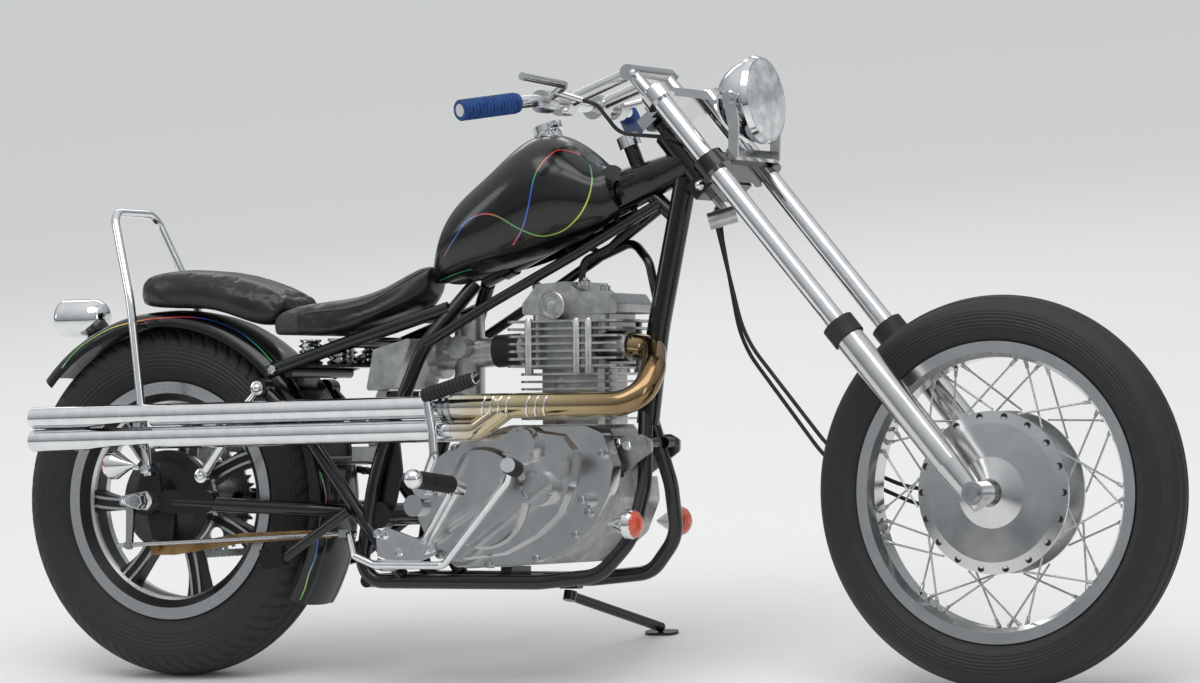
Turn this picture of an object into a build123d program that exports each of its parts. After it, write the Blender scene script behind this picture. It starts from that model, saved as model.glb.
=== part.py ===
"""Long-forked single-cylinder custom motorcycle, leaning on its side stand.

Everything is drawn upright, in millimetres: X runs forward from the rear axle,
Y to the rider's left, Z up from the ground. park() leans each finished piece
onto the stand and puts the middle of the whole machine over the origin.
"""
from build123d import *
from math import acos, atan2, cos, pi, radians, sin, sqrt, tan
import os

os.makedirs("parts", exist_ok=True)

# Stance
lean_angle = 11.1
wheelbase = 1636.0
rake = 40.5
fit_gap = 0.3            # between pieces that seat on each other
running_fit = 0.05       # round a pin that turns

# Rear wheel and tyre
rear_tyre_radius = 320.0
rear_tyre_half = 62.0
rear_crown = 66.0
rear_flange = 217.0
rear_rim_half = 46.0
rear_hub_radius = 58.0
rear_spoke_pairs = 7

# Front wheel and tyre
front_tyre_radius = 332.0
front_tyre_half = 47.0
front_crown = 52.0
front_flange = 254.0
front_rim_half = 33.0
front_spokes = 36
spoke_radius = 1.8
drum_ring = 137.0        # spoke ring on the drum hub
drum_cover = 117.0

# Fork and steering
fork_half_track = 97.0
fork_to_axis = 60.0      # legs ahead of the steering axis
axle_lead = 8.0          # axle ahead of the legs
fork_tube_radius = 17.5
leg_radius = 25.0
seal_height = 376.0      # distances up the leg from the axle
lower_yoke_height = 745.0
yoke_spacing = 148.0
upper_yoke_height = lower_yoke_height + yoke_spacing
tube_top_height = upper_yoke_height + 29
yoke_thickness = 30.0
head_tube_radius = 27.0
stem_radius = 13.0

# Frame tubes
backbone_radius = 28.0
down_tube_radius = 20.0
cradle_radius = 13.0
rail_radius = 12.0
cradle_half = 98.0
cradle_rear_half = 105.0
swingarm_radius = 13.0

# Engine
cylinder_x = 842.0
case_half = 74.0
case_top = 452.0
fin_pitch = 13.0
fin_thickness = 4.0
cylinder_fin_count = 7
head_fin_count = 7
cover_depth = 50.0

# Exhaust
pipe_radius = 20.0
pipe_wall = 1.6
pipe_side = 164.0        # out from the middle of the machine

# Side stand
stand_pivot_x = 754.0
stand_pivot_y = 104.0
stand_pivot_z = 160.0
stand_foot_x = 801.0
stand_foot_y = 361.0
stand_radius = 9.0

# Where the lean puts the ground and the middle of the machine
wheel_drop = rear_crown * (1 - cos(radians(lean_angle)))
middle_x = 824.0
middle_y = 114.0

rear_axle_z = rear_tyre_radius
front_axle_z = front_tyre_radius


def park(piece, name):
    """Lean a finished piece onto the stand, name it and write it as its own node."""
    piece.part = piece.part.moved(Pos(-middle_x, -middle_y, wheel_drop) * Rotation(-lean_angle, 0, 0))
    piece.part.label = name
    export_step(piece.part, f"parts/{name}.step")


def tube(points, radius, bends=(), bore=0.0, mode=Mode.ADD):
    """Add a round tube along straight runs, with one bend radius for each corner."""
    with BuildLine() as run:
        if len(points) == 2:
            Line(*points)
        else:
            FilletPolyline(*points, radius=list(bends))
    with BuildSketch(Plane(origin=run.line @ 0, z_dir=run.line % 0)) as section:
        Circle(radius)
        if bore:
            Circle(bore, mode=Mode.SUBTRACT)
    sweep(section.sketch, path=run.line, mode=mode)


def on_fork(up, ahead=0.0, side=0.0):
    """Point at a height up the fork, ahead of its legs and to the left."""
    angle = radians(rake)
    foot_x = wheelbase - axle_lead * cos(angle)
    foot_z = front_axle_z - axle_lead * sin(angle)
    return (foot_x - up * sin(angle) + ahead * cos(angle), side,
        foot_z + up * cos(angle) + ahead * sin(angle))


def fork_plane(up, ahead=0.0, side=0.0):
    """Plane square to the fork: its x runs to the left, its y to the rear."""
    direction = (-sin(radians(rake)), 0, cos(radians(rake)))
    return Plane(origin=on_fork(up, ahead, side), x_dir=(0, 1, 0), z_dir=direction)


def wheel_plane(axle_x, axle_z):
    """Plane through an axle: its x runs along the axle, its y outwards."""
    return Plane(origin=(axle_x, 0, axle_z), x_dir=(0, 1, 0), z_dir=(1, 0, 0))


def tyre_section(outer, half, crown, flange, rim_half, wall):
    """Half-round tyre section, open towards the rim."""
    seat = flange - 13 + fit_gap
    bead = rim_half - 4 - fit_gap
    lip = flange + 0.6
    shoulder = 0.8 * half
    shoulder_r = outer - crown + sqrt(crown**2 - shoulder**2)
    middle = (lip + shoulder_r) / 2 - 4
    with BuildLine() as outline:
        Line((wall - bead, seat), (-bead, seat))
        Line((-bead, seat), (-bead, lip))
        ThreePointArc((-bead, lip), (-half, middle), (-shoulder, shoulder_r))
        ThreePointArc((-shoulder, shoulder_r), (0, outer), (shoulder, shoulder_r))
        ThreePointArc((shoulder, shoulder_r), (half, middle), (bead, lip))
        Line((bead, lip), (bead, seat))
        Line((bead, seat), (bead - wall, seat))
        Line((bead - wall, seat), (bead - wall, lip))
        ThreePointArc((bead - wall, lip), (half - wall, middle), (shoulder - wall, shoulder_r - wall))
        ThreePointArc(
            (shoulder - wall, shoulder_r - wall), (0, outer - wall - 2), (wall - shoulder,
                shoulder_r - wall)
        )
        ThreePointArc((wall - shoulder, shoulder_r - wall), (wall - half, middle), (wall - bead, lip))
        Line((wall - bead, lip), (wall - bead, seat))
    make_face(outline.edges())


# Rear wheel: cast, with seven pairs of spokes, and its tyre

rear_axis = Axis((0, 0, rear_axle_z), (0, 1, 0))

with BuildPart() as rear_tyre:
    with BuildSketch(wheel_plane(0, rear_axle_z)):
        tyre_section(rear_tyre_radius, rear_tyre_half, rear_crown, rear_flange, rear_rim_half, 8)
    revolve(axis=rear_axis)
park(rear_tyre, "rear_tyre")

rear_axle_radius = 9.0
rim_seat = rear_flange - 13
spoke_start = rear_hub_radius - 8
spoke_end = rim_seat - 22
spoke_middle = (spoke_start + spoke_end) / 2
spoke_bow = 7.0
with BuildSketch() as spoke_web:
    with BuildLine():
        ThreePointArc((spoke_start, 13), (spoke_middle, 11 + spoke_bow), (spoke_end, 22))
        Line((spoke_end, 22), (spoke_end, -22))
        ThreePointArc((spoke_end, -22), (spoke_middle, spoke_bow - 11), (spoke_start, -13))
        Line((spoke_start, -13), (spoke_start, 13))
    make_face()
with BuildSketch() as spoke_ridges:
    for inner, outer in [(6, 11), (-11, -6)]:
        with BuildLine():
            ThreePointArc((spoke_start, outer), (spoke_middle, outer + spoke_bow), (spoke_end, outer + 1))
            Line((spoke_end, outer + 1), (spoke_end, inner + 1))
            ThreePointArc((spoke_end, inner + 1), (spoke_middle, inner + spoke_bow), (spoke_start, inner))
            Line((spoke_start, inner), (spoke_start, outer))
        make_face()
with BuildPart() as rear_wheel:
    with BuildSketch(wheel_plane(0, rear_axle_z)):
        with BuildLine():
            Polyline(
                (-rear_rim_half, rear_flange), (-rear_rim_half + 4, rear_flange),
                (-rear_rim_half + 4, rim_seat), (-rear_rim_half + 24, rim_seat),
                (-rear_rim_half + 32, rim_seat - 18), (rear_rim_half - 32, rim_seat - 18),
                (rear_rim_half - 24, rim_seat), (rear_rim_half - 4, rim_seat),
                (rear_rim_half - 4, rear_flange), (rear_rim_half, rear_flange),
                (rear_rim_half, rim_seat - 9), (rear_rim_half - 14, rim_seat - 20),
                (rear_rim_half - 20, rim_seat - 27), (-rear_rim_half + 20, rim_seat - 27),
                (-rear_rim_half + 14, rim_seat - 20), (-rear_rim_half, rim_seat - 9),
                close=True,
            )
        make_face()
        with BuildLine():
            Polyline(
                (-30, rear_axle_radius + running_fit), (-30, 88), (-12, 88), (-6, rear_hub_radius),
                (28, rear_hub_radius - 6), (28, rear_axle_radius + running_fit), close=True,
            )
        make_face()
    revolve(axis=rear_axis)
    for near, far, shape in [(-18, 12, spoke_web), (-21, 15, spoke_ridges)]:
        with BuildSketch(Plane.XZ.offset(-near)):
            with Locations((0, rear_axle_z)):
                with PolarLocations(0, rear_spoke_pairs, start_angle=180):
                    add(shape.sketch)
        extrude(amount=near - far)
park(rear_wheel, "rear_cast_wheel")

# Chain drive on the left: toothed rear sprocket, and the chain round it and the engine's sprocket
sprocket_teeth = 40
engine_teeth = 15
chain_links = 106
chain_pitch = 15.875
chain_side = 83.0
roller_radius = 5.0
engine_sprocket_x = 618.6
engine_sprocket_z = 292.0
sprocket_pitch_radius = chain_pitch / (2 * sin(radians(180 / sprocket_teeth)))
engine_pitch_radius = chain_pitch / (2 * sin(radians(180 / engine_teeth)))


def tooth_outline(teeth, pitch_radius, x, z, roller_angle):
    """Corners of a sprocket round (x, z), with a gap for the roller that stands at an angle."""
    corners = []
    for tooth in range(teeth):
        for turn, lift in [(0.0, -5.4), (0.24, -4.6), (0.42, 4), (0.58, 4), (0.76, -4.6)]:
            angle = roller_angle + radians((tooth + turn) * 360 / teeth)
            corners.append((x + (pitch_radius + lift) * cos(angle), z + (pitch_radius + lift) * sin(angle)))
    return corners


span_x = engine_sprocket_x
span_z = engine_sprocket_z - rear_axle_z
span = sqrt(span_x**2 + span_z**2)
span_angle = atan2(span_z, span_x)
tangent_angle = acos((sprocket_pitch_radius - engine_pitch_radius) / span)
straight_run = sqrt(span**2 - (sprocket_pitch_radius - engine_pitch_radius) ** 2)
rear_wrap = sprocket_pitch_radius * (2 * pi - 2 * tangent_angle)
engine_wrap = engine_pitch_radius * 2 * tangent_angle


def on_chain(links, lift=0.0):
    """Point lifted off the pitch line, a number of links back from the engine's sprocket."""
    gone = links * (2 * straight_run + rear_wrap + engine_wrap) / chain_links
    if gone < straight_run:
        centre, radius, angle, slide = 0.0, sprocket_pitch_radius, tangent_angle, straight_run - gone
    elif gone < straight_run + rear_wrap:
        centre, radius, slide = 0.0, sprocket_pitch_radius, 0.0
        angle = tangent_angle + (gone - straight_run) / sprocket_pitch_radius
    elif gone < 2 * straight_run + rear_wrap:
        centre, radius, angle, slide = 0.0, sprocket_pitch_radius, -tangent_angle, gone - straight_run - rear_wrap
    else:
        centre, radius, slide = span, engine_pitch_radius, 0.0
        angle = -tangent_angle + (gone - 2 * straight_run - rear_wrap) / engine_pitch_radius
    way = 1 if angle > 0 else -1
    along = centre + (radius + lift) * cos(angle) + slide * sin(angle) * way
    up = (radius + lift) * sin(angle) - slide * cos(angle) * way
    return (
        along * cos(span_angle) - up * sin(span_angle),
        rear_axle_z + along * sin(span_angle) + up * cos(span_angle),
    )


def roller_bearing(links, x, z):
    """Angle at which a roller stands round a sprocket's middle."""
    at_x, at_z = on_chain(links)
    return atan2(at_z - z, at_x - x)


rear_roller = roller_bearing(round(chain_links * 0.465), 0.0, rear_axle_z)
engine_roller = roller_bearing(round(chain_links * 0.965), engine_sprocket_x, engine_sprocket_z)
with BuildPart() as rear_sprocket:
    with BuildSketch(Plane.XZ.offset(-chain_side - 3)):
        with BuildLine():
            Polyline(*tooth_outline(sprocket_teeth, sprocket_pitch_radius, 0, rear_axle_z, rear_roller),
                close=True)
        make_face()
        with Locations((0, rear_axle_z)):
            Circle(20, mode=Mode.SUBTRACT)
            with PolarLocations(70, 5):
                Circle(15, mode=Mode.SUBTRACT)
    extrude(amount=6)
    with BuildSketch(Plane.XZ.offset(-chain_side + 3)):
        with Locations((0, rear_axle_z)):
            Circle(44)
            Circle(20, mode=Mode.SUBTRACT)
    extrude(amount=chain_side - 3 - 28 - fit_gap)
park(rear_sprocket, "rear_sprocket")

tooth_reach = sprocket_pitch_radius + 4.6 + roller_radius
free_rollers = []
for link in range(chain_links):
    at_x, at_z = on_chain(link)
    if sqrt(at_x**2 + (at_z - rear_axle_z) ** 2) > tooth_reach:
        free_rollers.append((at_x, at_z))
with BuildPart() as drive_chain:
    for plate_side in (-6.5, 4.3):
        with BuildSketch(Plane.XZ.offset(-chain_side - plate_side)):
            with BuildLine():
                Polyline(*[on_chain(step / 2,
                    5.0 if step % 2 else 7.2) for step in range(2 * chain_links)], close=True)
            make_face()
            with BuildLine():
                Polyline(*[on_chain(step / 2,
                    -5.0 if step % 2 else -7.2) for step in range(2 * chain_links)],
                         close=True)
            make_face(mode=Mode.SUBTRACT)
        extrude(amount=-2.2)
    with BuildSketch(Plane.XZ.offset(-chain_side + 6)):
        with Locations(*free_rollers):
            RegularPolygon(roller_radius, 6)
    extrude(amount=-12)
park(drive_chain, "drive_chain")

with BuildPart() as engine_sprocket:
    with BuildSketch(Plane.XZ.offset(-chain_side - 3)):
        with BuildLine():
            Polyline(
                *tooth_outline(engine_teeth, engine_pitch_radius, engine_sprocket_x, engine_sprocket_z,
                    engine_roller),
                close=True,
            )
        make_face()
    extrude(amount=6)
    tube([(engine_sprocket_x, 74.3, engine_sprocket_z), (engine_sprocket_x, chain_side,
        engine_sprocket_z)], 14)
park(engine_sprocket, "engine_sprocket")

# Rear brake plate, on the right, held by the flat torque rod, and its arm and pull rod
brake_plate_radius = 92.0
brake_plate_inner = 36.0
with BuildPart() as rear_brake_plate:
    with BuildSketch(wheel_plane(0, rear_axle_z)):
        with BuildLine():
            Polyline(
                (-brake_plate_inner, rear_axle_radius + fit_gap), (-brake_plate_inner, brake_plate_radius),
                (-52, brake_plate_radius), (-58, 70), (-70, 42), (-74, 26), (-74,
                    rear_axle_radius + fit_gap),
                close=True,
            )
        make_face()
    revolve(axis=rear_axis)
    with BuildSketch(Plane.XZ.offset(52)):
        with BuildLine():
            FilletPolyline((-30, 300), (34, 300), (26, 236), (20, 222), (-4, 222), (-14, 240), radius=6,
                close=True)
        make_face()
    extrude(amount=24)
park(rear_brake_plate, "rear_brake_plate")

with BuildPart() as torque_rod:
    with BuildSketch(Plane.XZ.offset(90)):
        with BuildLine():
            FilletPolyline((-8, 232), (-4, 250), (44, 240), (190, 262), (372, 269), (372, 254), (190,
                244), (44, 222),
                           (-6, 222), radius=5, close=True)
        make_face()
    extrude(amount=6)
    tube([(8, -76.3, 236), (8, -104, 236)], 8)
    tube([(364, -84, 261), (364, -102, 261)], 8)
park(torque_rod, "torque_rod")

rod_side = -112.0
with BuildPart() as brake_linkage:
    tube([(-40, -71.5, 302), (-40, -116, 302)], 6)
    with BuildSketch(Plane.XZ.offset(110)):
        with BuildLine():
            FilletPolyline((-48, 312), (-32, 312), (-31, 294), (-36, 232), (-48, 232), (-47, 294),
                radius=5, close=True)
        make_face()
    extrude(amount=6)
    tube([(-42, -108, 240), (-42, -122, 240)], 7)
    tube([(-66, rod_side, 239), (408, rod_side, 262)], 4)
    with Locations((414, rod_side, 262)):
        Box(18, 12, 14)
park(brake_linkage, "brake_linkage")

end_inner = 100.0
end_outer = 124.0
with BuildPart() as rear_axle:
    tube([(0, -148, rear_axle_z), (0, 148, rear_axle_z)], rear_axle_radius)
    for side in (-1, 1):
        plate_face = end_outer + fit_gap
        with BuildSketch(Plane.XZ.offset(side * plate_face)):
            with BuildLine():
                FilletPolyline((18, rear_axle_z + 4), (8, rear_axle_z + 19), (-14, rear_axle_z + 15),
                    (-52, rear_axle_z + 9),
                               (-52, rear_axle_z - 7), (-14, rear_axle_z - 13), (8,
                                   rear_axle_z - 17), (18, rear_axle_z - 4),
                               radius=4, close=True)
            make_face()
        extrude(amount=side * 5)
        with BuildSketch(Plane.XZ.offset(side * (plate_face + 5))):
            with Locations((0, rear_axle_z)):
                RegularPolygon(15, 6)
        extrude(amount=side * 14)
    for first, last in [(-74.3, -99.7), (86.3, 99.7)]:
        tube([(0, first, rear_axle_z), (0, last, rear_axle_z)], 13)
park(rear_axle, "rear_axle")

# Swingarm: two arms with cast ends, from the pivot tube to the axle
pivot_x = 482.0
pivot_z = 295.0
arm_side = 112.0
sissy_foot = (12.0, 378.0)
with BuildPart() as swingarm:
    for side in (-1, 1):
        tube(
            [
                (60, side * arm_side, 318), (210, side * arm_side, 311), (345, side * 94, 304),
                (430, side * 60, 298), (pivot_x, side * 60, pivot_z),
            ],
            swingarm_radius, [200, 160, 40],
        )
        with BuildSketch(Plane.XZ.offset(-side * end_inner)):
            with Locations((87, 319)):
                SlotOverall(122, 42)
            with Locations((0, rear_axle_z)):
                Circle(26)
            with Locations((27, 320)):
                Rectangle(40, 34)
        extrude(amount=side * (end_inner - end_outer))
        with BuildSketch(Plane.XZ.offset(-side * 117)):
            with BuildLine():
                FilletPolyline((-20, 325), (-4, 388), (28, 388), (36, 330), radius=6, close=True)
            make_face()
        extrude(amount=side * (117 - end_outer))
    tube([(pivot_x, -78, pivot_z), (pivot_x, 78, pivot_z)], 20)
    tube([(374, -80, 302), (374, 80, 302)], 10)
    with Locations((360, 0, 302)):
        Box(23, 30, 18)
    tube([(0, -140, rear_axle_z), (0, 140, rear_axle_z)], rear_axle_radius + fit_gap, mode=Mode.SUBTRACT)
park(swingarm, "swingarm")

# Main frame: oil-carrying backbone, head tube, single down tube, twin cradle and seat rails
head_middle = (lower_yoke_height + upper_yoke_height) / 2 + 7    # up the fork, halfway along the head tube
head_half = 54.0
backbone_front = on_fork(head_middle - 10.3, -63.3)
backbone_rear = (640.0, 0.0, 722.0)
cradle_split = (966.0, 0.0, 452.0)
cradle_low_z = 178.0
axle_plate_x = 246.0
axle_plate_z = 522.0
rail_side = 112.0
brace_side = 107.6
engine_bolt = (988.0, 419.0)


def on_backbone(along, up=0.0):
    """Point along the backbone from its rear end, and square to it."""
    run = Vector(*backbone_front) - Vector(*backbone_rear)
    way = run.normalized()
    return (backbone_rear[0] + along * way.X - up * way.Z, 0.0,
        backbone_rear[2] + along * way.Z + up * way.X)


with BuildPart() as frame:
    tube([backbone_rear, backbone_front], backbone_radius)
    for station in (40, 230):
        tube([on_backbone(station), on_backbone(station + 20)], backbone_radius + 3.7)
    tube([on_backbone(357), on_backbone(359, 72)], 13)
    tube([on_fork(head_middle - head_half, -fork_to_axis), on_fork(head_middle + head_half,
        -fork_to_axis)], head_tube_radius)
    tube([on_fork(head_middle - 26, -84.7), (988, 0, 615), cradle_split], down_tube_radius, [500])
    tube([on_fork(head_middle - 72, -145), on_backbone(356, -8)], 14)
    with BuildSketch(Plane(origin=(936, 0, 866), z_dir=Vector(108, 0, 37))):
        Circle(backbone_radius + 6)
    with BuildSketch(Plane(origin=(1044, 0, 903), z_dir=Vector(108, 0, 37))):
        Circle(backbone_radius - 3)
    loft()
    tube([(838, 52, 743), (925, 30, 772), (966, 10, 735), (993, 0, 640)], 8, [40, 40])
    for side in (-1, 1):
        tube(
            [
                (966, side * 8, 470), (985, side * 50, 345), (978, side * 84, 255), (920,
                    side * cradle_half, 190),
                (800, side * cradle_half, cradle_low_z), (440, side * cradle_rear_half, cradle_low_z),
                (478, side * cradle_rear_half, 380), (562, side * 84, 592), (636, side * 22, 703),
            ],
            cradle_radius, [120, 90, 60, 200, 40, 500, 160],
        )
        tube([(600, side * 56, 660), (416, side * 94, 602), (258, side * rail_side, 550)], rail_radius,
            [240])
        tube([(axle_plate_x, side * rail_side, axle_plate_z), (334, side * brace_side, 441),
              (501, side * brace_side, 221), (530, side * 103, 186)],
             rail_radius, [300, 60])
        tube([(axle_plate_x, side * (rail_side - 12), axle_plate_z), (axle_plate_x,
            side * (rail_side + 16), axle_plate_z)], 17)
        tube([(pivot_x, side * (78 + fit_gap), pivot_z), (pivot_x, side * 108, pivot_z)], 24)
        tube([(562, side * 84, 592), (700, side * 74, 668), (846, side * 50, 746), (1000, side * 14, 836)],
             9, [300, 300])
        tube([(engine_bolt[0], side * 18, engine_bolt[1]), (engine_bolt[0], side * 50, engine_bolt[1])], 10)
    tube([(450, -cradle_half, cradle_low_z), (450, cradle_half, cradle_low_z)], 12)
    tube([(700, -cradle_half, cradle_low_z), (700, cradle_half, cradle_low_z)], 10)
    with Locations((700, 0, 190.3)):
        Box(22, 70, 24)
    tube([(416, -94, 602), (416, 94, 602)], 10)
    tube([(296, -106, 549), (296, 106, 549)], 9)
    with Locations((356, 0, 560)):
        Box(136, 196, 5)
    tube([(536, -68, 642), (536, 68, 642)], 8)
    tube([(534, 0, 642), (526, 0, 663)], 12)
    tube([(528, -90, 508), (482, -72, 507.6), (482, 72, 507.6), (528, 90, 508)], 7, [20, 20])
    tube([(372, -brace_side, 391), (372, brace_side, 391)], 8)
    with BuildSketch(Plane.XZ.offset(90)):
        with BuildLine():
            FilletPolyline((474, 300), (506, 300), (524, 372), (516, 446), (492, 446), (480, 380),
                radius=6, close=True)
        make_face()
    extrude(amount=6)
    with Locations((stand_pivot_x, 104, 168)):
        Box(36, 22, 16)
    tube([on_fork(head_middle - head_half, -fork_to_axis), on_fork(head_middle + head_half,
        -fork_to_axis)], stem_radius + fit_gap + 4, mode=Mode.SUBTRACT)
park(frame, "frame")

# Rigid struts that stand in place of the rear springs
with BuildPart() as struts:
    for side in (-1, 1):
        inner = side * (rail_side + 16 + fit_gap)
        with BuildSketch(Plane.XZ.offset(-inner)):
            with Locations(Location(((axle_plate_x + 126) / 2, (axle_plate_z + 366) / 2), 52.4)):
                SlotCenterToCenter(197, 26)
        extrude(amount=-side * 7)
park(struts, "rigid_struts")

# Engine: crankcase, right and left covers, finned cylinder and head, head cover
case_outline = [
    (566, 300), (575, 380), (640, 430), (735, case_top), (915, case_top), (940, 400),
    (950, 320), (925, 262), (860, 212), (640, 200), (580, 240),
]
with BuildPart() as crankcase:
    with BuildSketch(Plane.XZ.offset(case_half)):
        with BuildLine():
            FilletPolyline(*case_outline, radius=22, close=True)
        make_face()
    extrude(amount=-2 * case_half)
    with Locations((935, 62, 420), (935, -62, 420)):
        Box(70, 24, 120, mode=Mode.SUBTRACT)
park(crankcase, "crankcase")

with BuildPart() as engine_plates:
    for side in (-1, 1):
        with BuildSketch(Plane.XZ.offset(-side * (50 + fit_gap))):
            with BuildLine():
                FilletPolyline((902, 366), (902, 430), (984, 434), (1002, 424), (1002, 404), (946, 366),
                    radius=8, close=True)
            make_face()
        extrude(amount=-side * 5)
        for x, z in [(918, 382), (918, 416), engine_bolt]:
            tube([(x, side * 55, z), (x, side * 62, z)], 7)
park(engine_plates, "engine_plates")

cover_outline = [
    (561, 355), (592, 389), (642, 419), (740, 448), (900, 450), (934, 436), (953, 380),
    (944, 330), (916, 280), (870, 240), (800, 212), (640, 203), (590, 234), (562, 290),
]
plateau_outline = [
    (580, 352), (600, 380), (667, 426), (742, 440), (812, 443), (862, 436), (888, 408), (882, 350),
    (856, 296), (812, 258), (745, 226), (660, 216), (604, 236), (578, 292),
]
cover_screws = [
    # x, z, radius, height
    (934, 402, 9, 22), (878, 262, 9, 14), (905, 300, 9, 16), (900, 322, 14, 30), (800, 220, 8, 14),
    (705, 210, 8, 14), (606, 226, 8, 14), (566, 346, 8, 14), (640, 412, 8, 16), (700, 436, 8, 16),
]
clutch_x = 706.0
clutch_z = 325.0
cover_face = case_half + cover_depth
with BuildPart() as right_cover:
    with BuildSketch(Plane.XZ.offset(case_half + fit_gap)):
        with BuildLine():
            FilletPolyline(*cover_outline, radius=18, close=True)
        make_face()
    extrude(amount=cover_depth - 18)
    with BuildSketch(Plane.XZ.offset(cover_face - 18)):
        with BuildLine():
            FilletPolyline(*plateau_outline, radius=16, close=True)
        make_face()
    extrude(amount=18, taper=12)
    with BuildSketch(Plane.XZ.offset(cover_face)):
        with Locations((clutch_x, clutch_z)):
            Circle(90)
    extrude(amount=15, taper=20)
    with BuildSketch(Plane.XZ.offset(cover_face - 4)):
        with Locations((788, 416)):
            Circle(34)
        with Locations((824, 342)):
            Circle(32)
    extrude(amount=24, taper=6)
    with BuildSketch(Plane.XZ.offset(case_half + fit_gap)):
        with Locations((572, 312)):
            Circle(19)
    extrude(amount=66)
    for x, z, radius, height in cover_screws:
        with BuildSketch(Plane.XZ.offset(case_half + cover_depth - 30)):
            with Locations((x, z)):
                Circle(radius)
        extrude(amount=height)
park(right_cover, "right_cover")

with BuildPart() as left_cover:
    with BuildSketch(Plane.XZ.offset(-case_half - fit_gap)):
        with Locations((822, 330)):
            Circle(88)
        with Locations((690, 296)):
            SlotCenterToCenter(140, 124)
    extrude(amount=-30)
    with BuildSketch(Plane.XZ.offset(-case_half - 30)):
        with Locations((822, 330)):
            Circle(76)
    extrude(amount=-16, taper=20)
    with BuildSketch(Plane.XZ.offset(-case_half)):
        with Locations((engine_sprocket_x, engine_sprocket_z)):
            Circle(52)
        with Locations((engine_sprocket_x - 50, engine_sprocket_z)):
            Rectangle(100, 104)
    extrude(amount=-19, mode=Mode.SUBTRACT)
    tube([(650, 102, 250), (650, 112, 250)], 12)
park(left_cover, "left_cover")

cylinder_base = case_top + fit_gap
head_base = cylinder_base + cylinder_fin_count * fin_pitch + 6
with BuildPart() as cylinder:
    with BuildSketch(Plane.XY.offset(cylinder_base)):
        with Locations((cylinder_x, 0)):
            Circle(62)
            Rectangle(110, 110)
    extrude(amount=head_base - cylinder_base - fit_gap)
    for fin in range(cylinder_fin_count):
        with BuildSketch(Plane.XY.offset(cylinder_base + 8 + fin * fin_pitch)):
            with Locations((cylinder_x - 6, 0)):
                RectangleRounded(176, 168, 30)
        extrude(amount=fin_thickness)
park(cylinder, "cylinder")

head_top = head_base + head_fin_count * fin_pitch + 4
with BuildPart() as cylinder_head:
    with BuildSketch(Plane.XY.offset(head_base)):
        with Locations((cylinder_x, 0)):
            RectangleRounded(150, 130, 20)
    extrude(amount=head_top - head_base)
    for fin in range(head_fin_count):
        with BuildSketch(Plane.XY.offset(head_base + 3 + fin * fin_pitch)):
            with Locations((cylinder_x, 0)):
                RectangleRounded(226, 188, 26)
        extrude(amount=fin_thickness)
    tube([(900, -44, 588), (963.5, -50, 588)], 27)
    tube([(780, 0, 588), (722, 0, 586)], 30)
park(cylinder_head, "cylinder_head")

with BuildPart() as head_cover:
    with BuildSketch(Plane.XZ.offset(66)):
        with BuildLine():
            FilletPolyline((754, head_top + fit_gap), (754, 664), (784, 698), (842, 702), (868, 684),
                (930, 680),
                           (942, 662), (942, head_top + fit_gap), radius=5, close=True)
        make_face()
    extrude(amount=-132)
    with BuildSketch(Plane.XZ.offset(66)):
        with Locations((826, 660)):
            Circle(24)
    extrude(amount=22)
    tube([(853, -28, 686), (853, -28, 700)], 9)
park(head_cover, "head_cover")

# Carburettor with its open bell, on a rubber boot behind the head
with BuildPart() as carburettor:
    tube([(560, 0, 576), (668, 0, 582)], 26)
    tube([(544, 0, 575), (562, 0, 576)], 40)
    tube([(610, 0, 500), (610, 0, 650)], 27)
    tube([(612, -52, 590), (612, 50, 590)], 20)
park(carburettor, "carburettor")
with BuildPart() as intake_boot:
    tube([(668.3, 0, 583), (721.4, 0, 585.6)], 29)
park(intake_boot, "intake_boot")

# Exhaust: header round the down tube, then two stacked straight pipes
header_radius = 22.0
pipe_front_x = 672.0
pipe_front_z = 485.0
pipe_rear_x = -215.0
pipe_rear_z = 472.0
with BuildPart() as exhaust_header:
    tube(
        [
            (967, -50.5, 588), (1008, -56, 583), (1036, -110, 545), (1036, -pipe_side, 487),
            (pipe_front_x, -pipe_side, pipe_front_z),
        ],
        header_radius, [36, 60, 50],
    )
    tube(
        [(780, -pipe_side, 484), (715, -pipe_side, pipe_front_z - 41), (pipe_front_x, -pipe_side,
            pipe_front_z - 41)],
        pipe_radius, [30],
    )
park(exhaust_header, "exhaust_header")
with BuildPart() as exhaust_pipes:
    for drop in (0, 41):
        tube(
            [(pipe_front_x - fit_gap, -pipe_side, pipe_front_z - drop), (pipe_rear_x, -pipe_side,
                pipe_rear_z - drop)],
            pipe_radius,
        )
        tube(
            [(pipe_rear_x + 260, -pipe_side, pipe_rear_z - drop), (pipe_rear_x - 5, -pipe_side,
                pipe_rear_z - drop)],
            pipe_radius - pipe_wall, mode=Mode.SUBTRACT,
        )
    with Locations((0, -144, pipe_rear_z - 20.5)):
        Box(16, 11.6, 22)
park(exhaust_pipes, "exhaust_pipes")

# Fuel tank: tear drop that straddles the backbone
tank_origin = (560.0, 0.0, 700.0)
tank_slope = 21.3
tank_sections = [
    # station, half width, bottom, top
    (-2, 30, 6, 24),
    (28, 56, -6, 58),
    (62, 74, -12, 92),
    (126, 94, -24, 124),
    (215, 106, -36, 152),
    (290, 105, -40, 167),
    (342, 88, -38, 130),
    (392, 50, -26, 68),
]
tank_cap = (296.0, 152.0)
slope = radians(tank_slope)


def on_slope(station, up):
    """Point in the middle of the tank, at a station along it and a height square to it."""
    return (
        tank_origin[0] + station * cos(slope) - up * sin(slope), 0,
        tank_origin[2] + station * sin(slope) + up * cos(slope),
    )


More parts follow.
